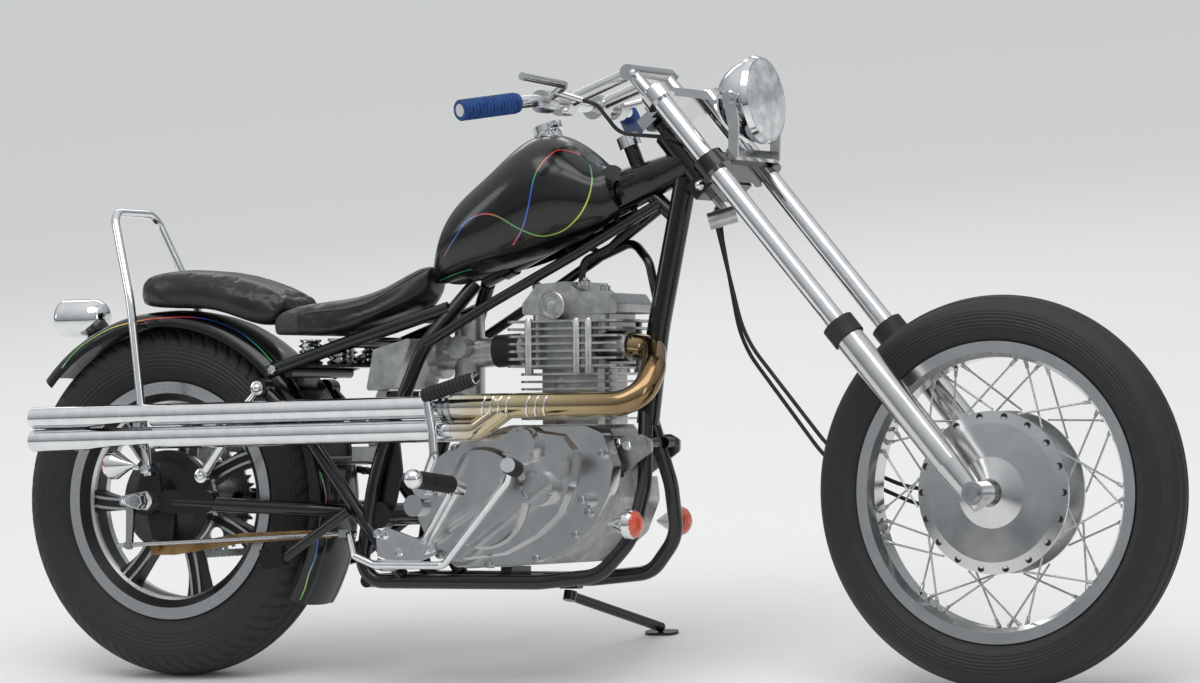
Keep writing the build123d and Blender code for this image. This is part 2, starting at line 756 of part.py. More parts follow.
def tank_plane(station):
    """Plane square to the backbone at a station along the tank: x to the left, y up."""
    origin = (tank_origin[0] + station * cos(slope), 0, tank_origin[2] + station * sin(slope))
    return Plane(origin=origin, x_dir=(0, -1, 0), z_dir=(-cos(slope), 0, -sin(slope)))


with BuildPart() as fuel_tank:
    for station, half_width, bottom, top in tank_sections:
        with BuildSketch(tank_plane(station)):
            with Locations((0, (bottom + top) / 2)):
                RectangleRounded(2 * half_width, top - bottom, 0.46 * min(2 * half_width, top - bottom))
    loft()
    tube([on_slope(tank_cap[0], tank_cap[1]), on_slope(tank_cap[0], 200)], 22 + fit_gap, mode=Mode.SUBTRACT)
    with BuildSketch(Plane(origin=backbone_rear, x_dir=(0, 1, 0),
            z_dir=(Vector(*backbone_front) - Vector(*backbone_rear)))):
        Circle(backbone_radius + 4)
        with Locations((0, -60)):
            Rectangle(2 * backbone_radius + 8, 120)
    extrude(amount=460, both=True, mode=Mode.SUBTRACT)
park(fuel_tank, "fuel_tank")

with BuildPart() as filler_caps:
    tube([on_slope(tank_cap[0], tank_cap[1] + fit_gap), on_slope(tank_cap[0], 176)], 22)
    tube([on_slope(tank_cap[0], 171), on_slope(tank_cap[0], 184)], 27)
    tube([on_backbone(359, 72.3), on_backbone(359.6, 94)], 20)
park(filler_caps, "filler_caps")

# Rear fender: a crowned strip round the wheel, with a lifted tail
fender_crown = 348.0
fender_edge = 317.0
fender_half = 72.0
fender_sheet = 3.0
fender_tail_angle = 49.0    # back from the top
fender_nose_angle = 123.0   # forward from the top
with BuildPart() as rear_fender:
    with BuildSketch(wheel_plane(0, rear_axle_z)):
        with BuildLine():
            Line((-fender_half, fender_edge), (-fender_half, fender_edge + 9))
            ThreePointArc((-fender_half, fender_edge + 9), (-64, 338.5), (-44, 344.5))
            ThreePointArc((-44, 344.5), (0, fender_crown), (44, 344.5))
            ThreePointArc((44, 344.5), (64, 338.5), (fender_half, fender_edge + 9))
            Line((fender_half, fender_edge + 9), (fender_half, fender_edge))
            Line((fender_half, fender_edge), (fender_half - fender_sheet, fender_edge))
            Line((fender_half - fender_sheet, fender_edge), (fender_half - fender_sheet, fender_edge + 9))
            ThreePointArc((fender_half - fender_sheet, fender_edge + 9), (61.5, 336), (43, 341.5))
            ThreePointArc((43, 341.5), (0, fender_crown - fender_sheet), (-43, 341.5))
            ThreePointArc((-43, 341.5), (-61.5, 336), (fender_sheet - fender_half, fender_edge + 9))
            Line((fender_sheet - fender_half, fender_edge + 9), (fender_sheet - fender_half, fender_edge))
            Line((fender_sheet - fender_half, fender_edge), (-fender_half, fender_edge))
        make_face()
    revolve(axis=rear_axis, revolution_arc=fender_tail_angle + fender_nose_angle)
rear_fender.part = rear_fender.part.rotate(rear_axis, -fender_tail_angle)
park(rear_fender, "rear_fender")

# Seats: pillion pad on the fender, and the dipped rider's seat on its springs
pillion_sections = [
    # x, half width, bottom, top
    (-62, 38, 677, 722),
    (-18, 80, 670, 735),
    (60, 92, 667, 738),
    (150, 90, 652, 724),
    (225, 78, 634, 702),
    (262, 58, 663, 686),
]
with BuildPart() as pillion_seat:
    for x, half_width, bottom, top in pillion_sections:
        with BuildSketch(Plane(origin=(x, 0, (bottom + top) / 2), x_dir=(0, 1, 0), z_dir=(1, 0, 0))):
            RectangleRounded(2 * half_width, top - bottom, 0.42 * (top - bottom))
    loft()
    tube([(6, 0, 690), (6, 0, 668.4)], 18)
park(pillion_seat, "pillion_seat")

rider_sections = [
    # x, half width, bottom, top
    (250, 66, 620, 638),
    (272, 108, 614, 657),
    (330, 122, 612, 670),
    (420, 108, 620, 682),
    (490, 70, 648, 712),
    (530, 46, 668, 735),
    (548, 30, 690, 738),
]
with BuildPart() as rider_seat:
    for x, half_width, bottom, top in rider_sections:
        with BuildSketch(Plane(origin=(x, 0, (bottom + top) / 2), x_dir=(0, 1, 0), z_dir=(1, 0, 0))):
            RectangleRounded(2 * half_width, top - bottom, 0.42 * min(top - bottom, 2 * half_width))
    loft()
park(rider_seat, "rider_seat")

with BuildPart() as seat_springs:
    for x, side, height in [(316, -1, 45.6), (316, 1, 45.6), (374, -1, 47.0), (374, 1, 47.0)]:
        with BuildSketch(Plane(origin=(x, side * 60, 562.8), x_dir=(1, 0, 0), z_dir=(0, -1, 0))):
            with BuildLine():
                Polyline((0, 0), (20, 0), (22, 5), (15, 9), (23, 14), (15, 19), (23, 24), (15, 29), (23,
                    34), (15, 39),
                         (20, 43), (20, height), (0, height), close=True)
            make_face()
        revolve(axis=Axis((x, side * 60, 562.8), (0, 0, 1)))
park(seat_springs, "seat_springs")

# Sissy bar bolted to the swingarm's brackets, and the tail lamp
bar_radius = 8.0
bar_foot = end_outer + fit_gap + bar_radius
with BuildPart() as sissy_bar:
    tube(
        [(sissy_foot[0] + 2, -bar_foot, sissy_foot[1] - 12), (sissy_foot[0] - 2, -bar_foot,
            sissy_foot[1] + 18),
         (-36, -111, 677), (-101, -68, 848), (-101, 68, 848),
         (-36, 111, 677), (sissy_foot[0] - 2, bar_foot, sissy_foot[1] + 18),
         (sissy_foot[0] + 2, bar_foot, sissy_foot[1] - 12)],
        bar_radius, [120, 300, 34, 34, 300, 120],
    )
    for side in (-1, 1):
        tube([(-30, side * 113, 641), (-30, side * (fender_half + fit_gap), 641)], 6)
        tube([(sissy_foot[0], side * (end_outer + fit_gap), sissy_foot[1]), (sissy_foot[0],
            side * (bar_foot + 11), sissy_foot[1])], 9)
park(sissy_bar, "sissy_bar")
with BuildPart() as tail_lamp:
    with BuildSketch(Plane(origin=(-214, 0, 656), x_dir=(1, 0, 0), z_dir=(0, -1, 0))):
        with BuildLine():
            Line((-50, 0), (-50, 22))
            ThreePointArc((-50, 22), (-47, 31), (-38, 36))
            Line((-38, 36), (20, 36))
            ThreePointArc((20, 36), (44, 26), (52, 0))
            Line((52, 0), (-50, 0))
        make_face()
    revolve(axis=Axis((-214, 0, 656), (1, 0, 0)))
    tube([(-201, 0, 637.7), (-186.3, 0, 614.5)], 15)
park(tail_lamp, "tail_lamp")

# Electrics box in front of the seat tubes, with the small boxes on its hanging plate
with BuildPart() as electrics_box:
    with BuildSketch(Plane.XZ.offset(82)):
        with BuildLine():
            FilletPolyline((443, 515), (459, 588), (540, 610), (500, 519), radius=6, close=True)
        make_face()
    extrude(amount=-150)
    with BuildSketch(Plane.XZ.offset(42)):
        with BuildLine():
            Polyline((424, 388), (424, 470), (450, 530), (466, 530), (466, 388), close=True)
        make_face()
    extrude(amount=-4)
    with Locations((441, -61, 403), (441, -61, 438)):
        Box(58, 38, 26)
park(electrics_box, "electrics_box")

# Brake pedal, kick starter, footpegs, gear pedal and pillion pegs
bracket_face = 125.0
pedal_pivot = (505.0, 208.0)
with BuildPart() as footpegs:
    for side in (-1, 1):
        with BuildSketch(Plane.XZ.offset(-side * bracket_face)):
            with BuildLine():
                FilletPolyline((490, 262), (512, 274), (574, 254), (608, 246), (612, 226), (524, 196),
                    (494, 196),
                               radius=8, close=True)
            make_face()
        extrude(amount=-side * 5)
        for x, z, reach in [(505, 234, 119.4), (540, 226, 119.2)]:
            tube([(x, side * reach, z), (x, side * 127, z)], 8)
        for shift in (-7, 7):
            tube([(588 + shift, side * 129, 240), (700 + shift, side * 218, 336)], 5.5)
        tube([(588, side * 129, 240), (588, side * 140, 240)], 14)
        tube([(708, side * 208, 342), (705, side * 238, 350)], 13)
        tube([(705, side * 236, 350), (693, side * 336, 361)], 14)
        with Locations((692, side * 342, 361.5)):
            Sphere(17)
park(footpegs, "footpegs")
with BuildPart() as brake_pedal:
    tube([(430, -121, 262), (456, -148, 224), (500, -152, 208), (640, -152, 208), (806, -222, 352), (814,
        -224, 372)],
         7, [12, 20, 30, 10])
    tube([(818, -208, 376), (832, -262, 384)], 13)
    tube([(430, -104, 262), (430, -124, 262)], 6)
    tube([(pedal_pivot[0], -(bracket_face + 5 + fit_gap), pedal_pivot[1]), (pedal_pivot[0], -152,
        pedal_pivot[1])], 9)
park(brake_pedal, "brake_pedal")
with BuildPart() as kick_starter:
    tube([(604, -cover_face - fit_gap, 345), (604, -170, 345)], 11)
    tube([(604, -142, 345), (604, -170, 345)], 16)
    tube([(604, -160, 345), (630, -190, 366), (648, -195, 401), (645, -195, 440), (634, -196, 500)], 8,
        [14, 20, 40])
    tube([(628, -198, 503), (740, -206, 534)], 11)
park(kick_starter, "kick_starter")
with BuildPart() as gear_pedal:
    tube([(650, 112.3, 250), (650, 138, 250)], 11)
    tube([(650, 134, 250), (752, 150, 300), (790, 190, 330)], 7, [20])
    tube([(788, 182, 328), (800, 236, 336)], 11)
park(gear_pedal, "gear_pedal")
with BuildPart() as pillion_pegs:
    for side in (-1, 1):
        tube([(434, side * 129.4, 303), (304, side * 138, 219)], 9)
        with Locations(Location((284, side * 140, 220), (0, -12, 0))):
            Box(46, 18, 36)
park(pillion_pegs, "pillion_pegs")

# Direction indicators
def indicator(x, y, z, way):
    """Add a cone-tailed indicator with its lens facing way along X."""
    with BuildSketch(Plane(origin=(x, y, z), x_dir=(1, 0, 0), z_dir=(0, -1, 0))) as half:
        with BuildLine() as outline:
            Polyline((way * -34, 0), (way * -34, 3), (way * -2, 22), (way * 4, 26), (way * 14, 26),
                (way * 22, 22),
                     (way * 28, 15), (way * 32, 7), (way * 33, 0), close=True)
        make_face(outline.edges())
    revolve(half.sketch, axis=Axis((x, y, z), (1, 0, 0)))


with BuildPart() as front_indicators:
    indicator(986, -124, 280, 1)
    tube([(986, -124, 280), (981, -90.6, 280)], 5)
    indicator(950, 128, 280, 1)
    tube([(950, 128, 280), (972.6, 88.6, 280)], 5)
park(front_indicators, "front_indicators")
with BuildPart() as rear_indicators:
    for side in (-1, 1):
        indicator(-34, side * 158, 386, -1)
        tube([(-34, side * 158, 386), (-2.2, side * 140, 380)], 5)
park(rear_indicators, "rear_indicators")

# Front wheel: alloy rim, laced spokes and drum hub, with its tyre
front_axis = Axis((wheelbase, 0, front_axle_z), (0, 1, 0))
with BuildPart() as front_tyre:
    with BuildSketch(wheel_plane(wheelbase, front_axle_z)):
        tyre_section(front_tyre_radius, front_tyre_half, front_crown, front_flange, front_rim_half, 6)
    revolve(axis=front_axis)
park(front_tyre, "front_tyre")

front_seat = front_flange - 13
with BuildPart() as front_rim:
    with BuildSketch(wheel_plane(wheelbase, front_axle_z)):
        with BuildLine():
            Polyline(
                (-front_rim_half, front_flange), (-front_rim_half + 3, front_flange),
                (-front_rim_half + 3, front_seat), (-front_rim_half + 14, front_seat),
                (-front_rim_half + 22, front_seat - 10), (front_rim_half - 22, front_seat - 10),
                (front_rim_half - 14, front_seat), (front_rim_half - 3, front_seat),
                (front_rim_half - 3, front_flange), (front_rim_half, front_flange),
                (front_rim_half, front_seat - 6), (front_rim_half - 14, front_seat - 14),
                (-front_rim_half + 14, front_seat - 14), (-front_rim_half, front_seat - 6),
                close=True,
            )
        make_face()
    revolve(axis=front_axis)
park(front_rim, "front_rim")

hub_half = 40.0
front_axle_radius = 8.5
hub_bore = front_axle_radius + running_fit
with BuildPart() as front_hub:
    with BuildSketch(wheel_plane(wheelbase, front_axle_z)):
        with BuildLine():
            Polyline(
                (-hub_half - 14, hub_bore), (-hub_half - 14, 24), (-hub_half - 4, 60), (-hub_half,
                    drum_cover),
                (-hub_half + 3, drum_ring), (-hub_half + 8, drum_ring), (-hub_half + 8, drum_cover + 2),
                (hub_half - 8, drum_cover + 2), (hub_half - 8, drum_ring), (hub_half - 3, drum_ring),
                (hub_half - 3, drum_cover - 6), (-hub_half + 14, drum_cover - 6), (-hub_half + 14,
                    hub_bore),
                close=True,
            )
        make_face()
    revolve(axis=front_axis)
park(front_hub, "front_hub")

with BuildPart() as front_spoke_set:
    for index in range(front_spokes):
        side = -1 if index % 2 else 1
        lean_way = 1 if index % 4 < 2 else -1
        base = index * 360 / front_spokes
        swing = lean_way * 28
        y_in = side * (hub_half - 4 - (2.6 if lean_way > 0 else -2.6))
        start_r = drum_ring + 2.4
        end_r = front_seat - 16
        a0 = radians(base)
        a1 = radians(base + swing)
        tube(
            [
                (wheelbase + start_r * cos(a0), y_in, front_axle_z + start_r * sin(a0)),
                (wheelbase + end_r * cos(a1), side * (4 - 2.4 * lean_way), front_axle_z + end_r * sin(a1)),
            ],
            spoke_radius,
        )
park(front_spoke_set, "front_spokes")

arm_pin = (wheelbase - 102, front_axle_z + 2)
drive_boss = (wheelbase - 46, front_axle_z - 42)
with BuildPart() as front_brake_plate:
    tube([(wheelbase, hub_half - 24, front_axle_z), (wheelbase, hub_half + 8, front_axle_z)],
        drum_cover - 10)
    tube([(wheelbase, hub_half, front_axle_z), (wheelbase, fork_half_track - leg_radius - fit_gap,
        front_axle_z)], 22)
    tube([(wheelbase - 62, hub_half + 8, front_axle_z + 22), (wheelbase - 62, hub_half + 22,
        front_axle_z + 22)], 9)
    with Locations(Location((wheelbase - 82, hub_half + 18, front_axle_z + 12), (0, -25, 0))):
        Box(50, 6, 14)
    tube([(arm_pin[0], hub_half + 15, arm_pin[1]), (arm_pin[0], hub_half + 26, arm_pin[1])], 4.5)
    tube([(drive_boss[0], hub_half + 7, drive_boss[1]), (drive_boss[0], hub_half + 26, drive_boss[1])], 9)
    tube([(wheelbase, 0, front_axle_z), (wheelbase, 80, front_axle_z)], front_axle_radius + fit_gap,
        mode=Mode.SUBTRACT)
park(front_brake_plate, "front_brake_plate")

with BuildPart() as front_axle:
    tube([(wheelbase, -131, front_axle_z), (wheelbase, 131, front_axle_z)], front_axle_radius)
    for side in (-1, 1):
        tube([(wheelbase, side * (fork_half_track + leg_radius + fit_gap), front_axle_z),
              (wheelbase, side * 131, front_axle_z)], 13)
    tube([(wheelbase, -fork_half_track + leg_radius + fit_gap, front_axle_z),
          (wheelbase, -hub_half - 14 - fit_gap, front_axle_z)], 13)
park(front_axle, "front_axle")

# Fork: upper and lower yokes with the stem, tubes, seals and lower legs
with BuildPart() as lower_yoke:
    with BuildSketch(fork_plane(lower_yoke_height - yoke_thickness / 2)):
        with Locations((-fork_half_track, 0), (fork_half_track, 0)):
            Circle(29)
        with Locations((0, fork_to_axis * 0.8)):
            Rectangle(150, 44)
        Rectangle(2 * fork_half_track, 40)
    extrude(amount=yoke_thickness)
    tube([on_fork(lower_yoke_height, -fork_to_axis), on_fork(upper_yoke_height + 2, -fork_to_axis)],
        stem_radius)
    for side in (-1, 1):
        tube([on_fork(lower_yoke_height - 20, 0, side * fork_half_track),
              on_fork(lower_yoke_height + 20, 0, side * fork_half_track)],
             fork_tube_radius + fit_gap, mode=Mode.SUBTRACT)
park(lower_yoke, "lower_yoke")
with BuildPart() as upper_yoke:
    with BuildSketch(fork_plane(upper_yoke_height)):
        with Locations((-fork_half_track, 0), (fork_half_track, 0)):
            Circle(27)
        with Locations((0, fork_to_axis * 0.7)):
            Rectangle(120, 60)
        with Locations((0, 14)):
            Rectangle(160, 50)
        Rectangle(2 * fork_half_track, 34)
    extrude(amount=22)
    for side in (-1, 1):
        tube([on_fork(upper_yoke_height - 20, 0, side * fork_half_track),
              on_fork(upper_yoke_height + 40, 0, side * fork_half_track)],
             fork_tube_radius + fit_gap, mode=Mode.SUBTRACT)
    tube([on_fork(upper_yoke_height - 20, -fork_to_axis), on_fork(upper_yoke_height + 40, -fork_to_axis)],
         stem_radius + fit_gap, mode=Mode.SUBTRACT)
park(upper_yoke, "upper_yoke")
with BuildPart() as fork_tubes:
    for side in (-1, 1):
        y = side * fork_half_track
        tube([on_fork(seal_height - 40, 0, y), on_fork(tube_top_height, 0, y)], fork_tube_radius)
park(fork_tubes, "fork_tubes")
with BuildPart() as fork_legs:
    for side in (-1, 1):
        y = side * fork_half_track
        tube([on_fork(72, 0, y), on_fork(seal_height - 26, 0, y)], leg_radius)
        with BuildSketch(fork_plane(72, 0, y)):
            Circle(leg_radius)
        with BuildSketch(fork_plane(-20, 0, y)):
            Circle(leg_radius - 8)
        loft()
        tube([on_fork(seal_height - 60, 0, y), on_fork(seal_height, 0, y)], fork_tube_radius + fit_gap,
            mode=Mode.SUBTRACT)
        tube([(wheelbase, y - leg_radius, front_axle_z), (wheelbase, y + leg_radius, front_axle_z)], 20)
        tube([(wheelbase, y - 40, front_axle_z), (wheelbase, y + 40, front_axle_z)],
            front_axle_radius + fit_gap, mode=Mode.SUBTRACT)
park(fork_legs, "fork_legs")
with BuildPart() as dust_seals:
    for side in (-1, 1):
        y = side * fork_half_track
        tube([on_fork(seal_height - 25.7, 0, y), on_fork(seal_height + 8, 0, y)], 29)
        tube([on_fork(seal_height - 30, 0, y), on_fork(seal_height + 20, 0, y)],
            fork_tube_radius + fit_gap, mode=Mode.SUBTRACT)
park(dust_seals, "dust_seals")

# Headlight, risers, handlebar with grips and levers
lamp_radius = 77.0
lamp_tilt = radians(6)
lamp_back = on_fork(head_middle + 24, 40.8)
lamp_way = (cos(lamp_tilt), 0, sin(lamp_tilt))


def in_lamp(along, out=0.0, side=0.0):
    """Point along the headlight's axis from the back of its bowl, and out from the axis."""
    return (
        lamp_back[0] + along * cos(lamp_tilt) - out * sin(lamp_tilt), side,
        lamp_back[2] + along * sin(lamp_tilt) + out * cos(lamp_tilt),
    )


with BuildPart() as headlight:
    with BuildSketch(Plane(origin=lamp_back, x_dir=lamp_way, z_dir=(0, -1, 0))):
        with BuildLine():
            Line((6, 0), (6, 10))
            ThreePointArc((6, 10), (28, 52), (74, lamp_radius - 5))
            Line((74, lamp_radius - 5), (76, lamp_radius - 1))
            Line((76, lamp_radius - 1), (84, lamp_radius))
            Line((84, lamp_radius), (94, lamp_radius - 4))
            Line((94, lamp_radius - 4), (94, lamp_radius - 8))
            ThreePointArc((94, lamp_radius - 8), (101, 42), (105, 8))
            Line((105, 8), (105, 0))
            Line((105, 0), (6, 0))
        make_face()
    revolve(axis=Axis(lamp_back, lamp_way))
park(headlight, "headlight")
with BuildPart() as headlight_bracket:
    arm_inner = lamp_radius + 1
    lamp_bolt = in_lamp(62)
    low_bar = on_fork(lower_yoke_height - 2, 34)
    for side in (-1, 1):
        tube([(lamp_bolt[0], side * (lamp_radius - 5), lamp_bolt[2]), (lamp_bolt[0],
            side * (arm_inner + 12), lamp_bolt[2])], 8)
        with BuildSketch(Plane.XZ.offset(-side * arm_inner)):
            with BuildLine():
                FilletPolyline(
                    (lamp_bolt[0] - 12, lamp_bolt[2] + 12), (lamp_bolt[0] + 12, lamp_bolt[2] + 12),
                    (lamp_bolt[0] + 19, lamp_bolt[2] - 46), (low_bar[0] + 14, low_bar[2] - 10),
                    (low_bar[0] - 4, low_bar[2] - 12), (lamp_bolt[0],
                        lamp_bolt[2] - 50), radius=5, close=True,
                )
            make_face()
        extrude(amount=-side * 5)
    with Locations(Plane(origin=low_bar, x_dir=(0, 1, 0), z_dir=(-sin(radians(rake)), 0,
            cos(radians(rake))))):
        Box(2 * arm_inner + 6, 8, 20)
    with BuildSketch(fork_plane(lower_yoke_height - 8)):
        with Locations((0, -26)):
            Rectangle(120, 12 - 2 * fit_gap)
    extrude(amount=14)
park(headlight_bracket, "headlight_bracket")
riser_x, _, riser_z = on_fork(upper_yoke_height + 91.9, -22.7)
bar_x, _, bar_z = on_fork(upper_yoke_height + 142.3, -157.2)
bar_rod = 11.1
with BuildPart() as risers:
    for side in (-1, 1):
        y = side * 62
        tube([on_fork(upper_yoke_height + 22.9, -20, y), (riser_x, y, riser_z)], 12)
        tube([(riser_x, y, riser_z), (bar_x, y, bar_z)], 12)
        tube([(bar_x, y - 16, bar_z), (bar_x, y + 16, bar_z)], 22)
    tube([(riser_x, -80, riser_z), (riser_x, 80, riser_z)], 14)
    tube([(bar_x, -100, bar_z), (bar_x, 100, bar_z)], bar_rod + fit_gap, mode=Mode.SUBTRACT)
park(risers, "risers")
with BuildPart() as handlebar:
    tube([(bar_x - 62, -318, bar_z - 22), (bar_x, -170, bar_z), (bar_x, 170, bar_z), (bar_x - 62, 318,
        bar_z - 22)],
         bar_rod, [60, 60])
park(handlebar, "handlebar")
with BuildPart() as grips:
    for side in (-1, 1):
        tube([(bar_x - 62, side * 318, bar_z - 22), (bar_x - 14, side * 204, bar_z - 5)], 17)
        tube([(bar_x - 68, side * 332, bar_z - 24), (bar_x, side * 170, bar_z)], bar_rod + fit_gap,
            mode=Mode.SUBTRACT)
park(grips, "grips")
cable_start = (bar_x + 77, -135, bar_z)
with BuildPart() as levers:
    for side in (-1, 1):
        tube([(bar_x, side * 118, bar_z), (bar_x, side * 146, bar_z)], 20)
        tube([(bar_x + 8, side * 132, bar_z + 4), (bar_x + 68, side * 176, bar_z + 24), (bar_x + 50,
            side * 300, bar_z + 33)],
             7, [20])
    tube([(bar_x + 40, -160, bar_z + 14), cable_start], 6)
    tube([(bar_x, -150, bar_z), (bar_x, 150, bar_z)], bar_rod + fit_gap, mode=Mode.SUBTRACT)
park(levers, "levers")

# Front brake cable and drive cable down to the front wheel's left, and the lock switch under the lower yoke
cable_radius = 3.5
cable_side = 61.0
with BuildPart() as front_cables:
    tube(
        [
            (cable_start[0] + 0.3, cable_start[1] + 0.2, cable_start[2] - 0.1), (bar_x + 98, -121,
                bar_z - 8),
            (bar_x + 122, -84, bar_z - 57),
            on_fork(head_middle + 34, -51, -40), on_fork(head_middle - 31,
                -17.7), on_fork(head_middle - 37, -62, 48),
            on_fork(head_middle - 81, -84, 49), (1078, 51, 798), (1128, 56, 600), (1300, cable_side, 392),
            (1437, cable_side, 338), (arm_pin[0] - 4.8, cable_side, arm_pin[1]),
        ],
        cable_radius, [20, 40, 60, 24, 20, 30, 40, 200, 200, 200],
    )
    tube(
        [
            on_fork(lower_yoke_height, -70.4, 64), on_fork(lower_yoke_height, -92, 64), (1082, 66, 770),
            (1118, 64, 590), (1290, cable_side + 1, 376), (1437, cable_side + 1, 316),
            (1540, cable_side + 1, drive_boss[1]), (drive_boss[0] - 9.3, cable_side + 1, drive_boss[1]),
        ],
        cable_radius, [12, 60, 200, 200, 200, 60],
    )
park(front_cables, "front_cables")
with BuildPart() as lock_switch:
    tube([on_fork(lower_yoke_height - 15.3, -62, -16), on_fork(lower_yoke_height - 48, -62, -16)], 7)
    tube([(1104, -30, 800), (1146, -8, 813)], 15)
park(lock_switch, "lock_switch")

# Oil pipe and breather hose between the backbone and the head cover
with BuildPart() as hoses:
    tube([on_backbone(281, -28.3), on_backbone(281, -56), (884, -8, 750), (846, -10, 768), (820, -6, 746),
          on_backbone(174, -28.3)], 5, [14, 14, 12, 8])
    tube([on_backbone(319, -28.3), on_backbone(319, -52), (905, -18, 762), (856, -28, 738), (853, -28,
        701.2)], 6, [18, 60, 20])
park(hoses, "hoses")

# Side stand: leg and foot, hinged on the lug under the left cradle tube
ground_up = (0, -sin(radians(lean_angle)), cos(radians(lean_angle)))
foot_z = stand_foot_y * tan(radians(lean_angle)) - wheel_drop / cos(radians(lean_angle))
foot_thickness = 5.0
ankle = (stand_foot_x, stand_foot_y + ground_up[1] * 12, foot_z + ground_up[2] * 12)
hinge_way = (0.0400, 0.2700, 0.9620)    # the leg swings back and up about this line


def on_hinge(along):
    """Point along the stand's hinge from its pivot, up through the lug."""
    return (stand_pivot_x + along * hinge_way[0], stand_pivot_y + along * hinge_way[1],
        stand_pivot_z + along * hinge_way[2])


with BuildPart() as side_stand:
    tube([on_hinge(-13), ankle], stand_radius)
    tube([on_hinge(-4.7), on_hinge(-22)], 12)
    with BuildSketch(Plane(origin=(stand_foot_x, stand_foot_y, foot_z), x_dir=(1, 0, 0), z_dir=ground_up)):
        SlotOverall(66, 32)
    extrude(amount=foot_thickness)
park(side_stand, "side_stand")
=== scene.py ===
import bpy
import bmesh
from math import atan2, cos, pi, radians, sin, sqrt
from mathutils import Matrix, Vector
from mathutils.bvhtree import BVHTree


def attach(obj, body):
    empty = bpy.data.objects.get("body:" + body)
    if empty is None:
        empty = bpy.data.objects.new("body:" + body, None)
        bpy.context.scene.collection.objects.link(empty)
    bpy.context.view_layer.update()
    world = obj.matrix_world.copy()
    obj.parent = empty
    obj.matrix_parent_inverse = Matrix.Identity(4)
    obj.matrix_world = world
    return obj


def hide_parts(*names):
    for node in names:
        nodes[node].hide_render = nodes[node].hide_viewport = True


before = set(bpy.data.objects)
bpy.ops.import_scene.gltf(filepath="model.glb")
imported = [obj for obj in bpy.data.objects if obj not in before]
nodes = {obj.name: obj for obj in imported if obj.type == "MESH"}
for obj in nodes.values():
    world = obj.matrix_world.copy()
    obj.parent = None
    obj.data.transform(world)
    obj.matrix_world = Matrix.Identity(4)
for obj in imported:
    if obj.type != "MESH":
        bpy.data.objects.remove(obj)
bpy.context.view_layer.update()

# Camera
# The picture is taken from low on the machine's right with a long lens,
# a little above the seat, and held slightly off level.
camera_place = Vector((4.19945, -7.59195, 1.93541))
camera_yaw = radians(28.664)
camera_pitch = radians(8.856)
camera_roll = radians(-5.824)
lens_for_frame = 149.93
looks = Vector((-sin(camera_yaw) * cos(camera_pitch), cos(camera_yaw) * cos(camera_pitch), -sin(camera_pitch)))
level_right = Vector((cos(camera_yaw), sin(camera_yaw), 0))
level_up = level_right.cross(looks)
right = level_right * cos(camera_roll) + level_up * sin(camera_roll)
up = level_up * cos(camera_roll) - level_right * sin(camera_roll)
camera = bpy.data.objects.new("camera", bpy.data.cameras.new("camera"))
camera.data.sensor_width = 36
camera.data.lens = lens_for_frame
camera.data.clip_end = 100
camera.matrix_world = Matrix((
    (right.x, up.x, -looks.x, camera_place.x),
    (right.y, up.y, -looks.y, camera_place.y),
    (right.z, up.z, -looks.z, camera_place.z),
    (0, 0, 0, 1),
))
bpy.context.scene.collection.objects.link(camera)
bpy.context.scene.camera = camera
bpy.context.scene.view_settings.view_transform = "Standard"


# Studio
# A pale seamless floor under a big overhead softbox, with a fill from the
# camera's side and a strip behind, so that the chrome has edges to show.
def linear(code, alpha=1.0):
    """A colour written as sRGB hex, turned to the linear values that shaders take."""
    parts = [int(code[i:i + 2], 16) / 255 for i in (0, 2, 4)]
    return tuple(c / 12.92 if c <= 0.04045 else ((c + 0.055) / 1.055) ** 2.4 for c in parts) + (alpha,)


def add_node(tree, kind, settings=(), links=()):
    """Add one node with its settings and the sockets that feed it, each by name or number."""
    node = tree.nodes.new(kind)
    for name, value in dict(settings).items():
        if isinstance(name, int) or name in node.inputs:
            node.inputs[name].default_value = value
        else:
            setattr(node, name, value)
    for name, source in dict(links).items():
        tree.links.new(source, node.inputs[name])
    return node


def new_material(name):
    """A material with an empty node tree."""
    material = bpy.data.materials.new(name)
    material.use_nodes = True
    material.node_tree.nodes.clear()
    return material


floor_half = 45.0        # metres, so that its edge stays out of every view
floor_mesh = bpy.data.meshes.new("studio_floor")
floor_mesh.from_pydata([(-floor_half, -floor_half, 0), (floor_half, -floor_half, 0),
                        (floor_half, floor_half, 0), (-floor_half, floor_half, 0)], [], [(0, 1, 2, 3)])
floor = bpy.data.objects.new("studio_floor", floor_mesh)
bpy.context.scene.collection.objects.link(floor)
floor_paper = new_material("studio paper")
tree = floor_paper.node_tree
paper = add_node(tree, "ShaderNodeBsdfPrincipled", {"Base Color": linear("f1f1ef"), "Roughness": 0.9})
add_node(tree, "ShaderNodeOutputMaterial", (), {"Surface": paper.outputs[0]})
floor_mesh.materials.append(floor_paper)

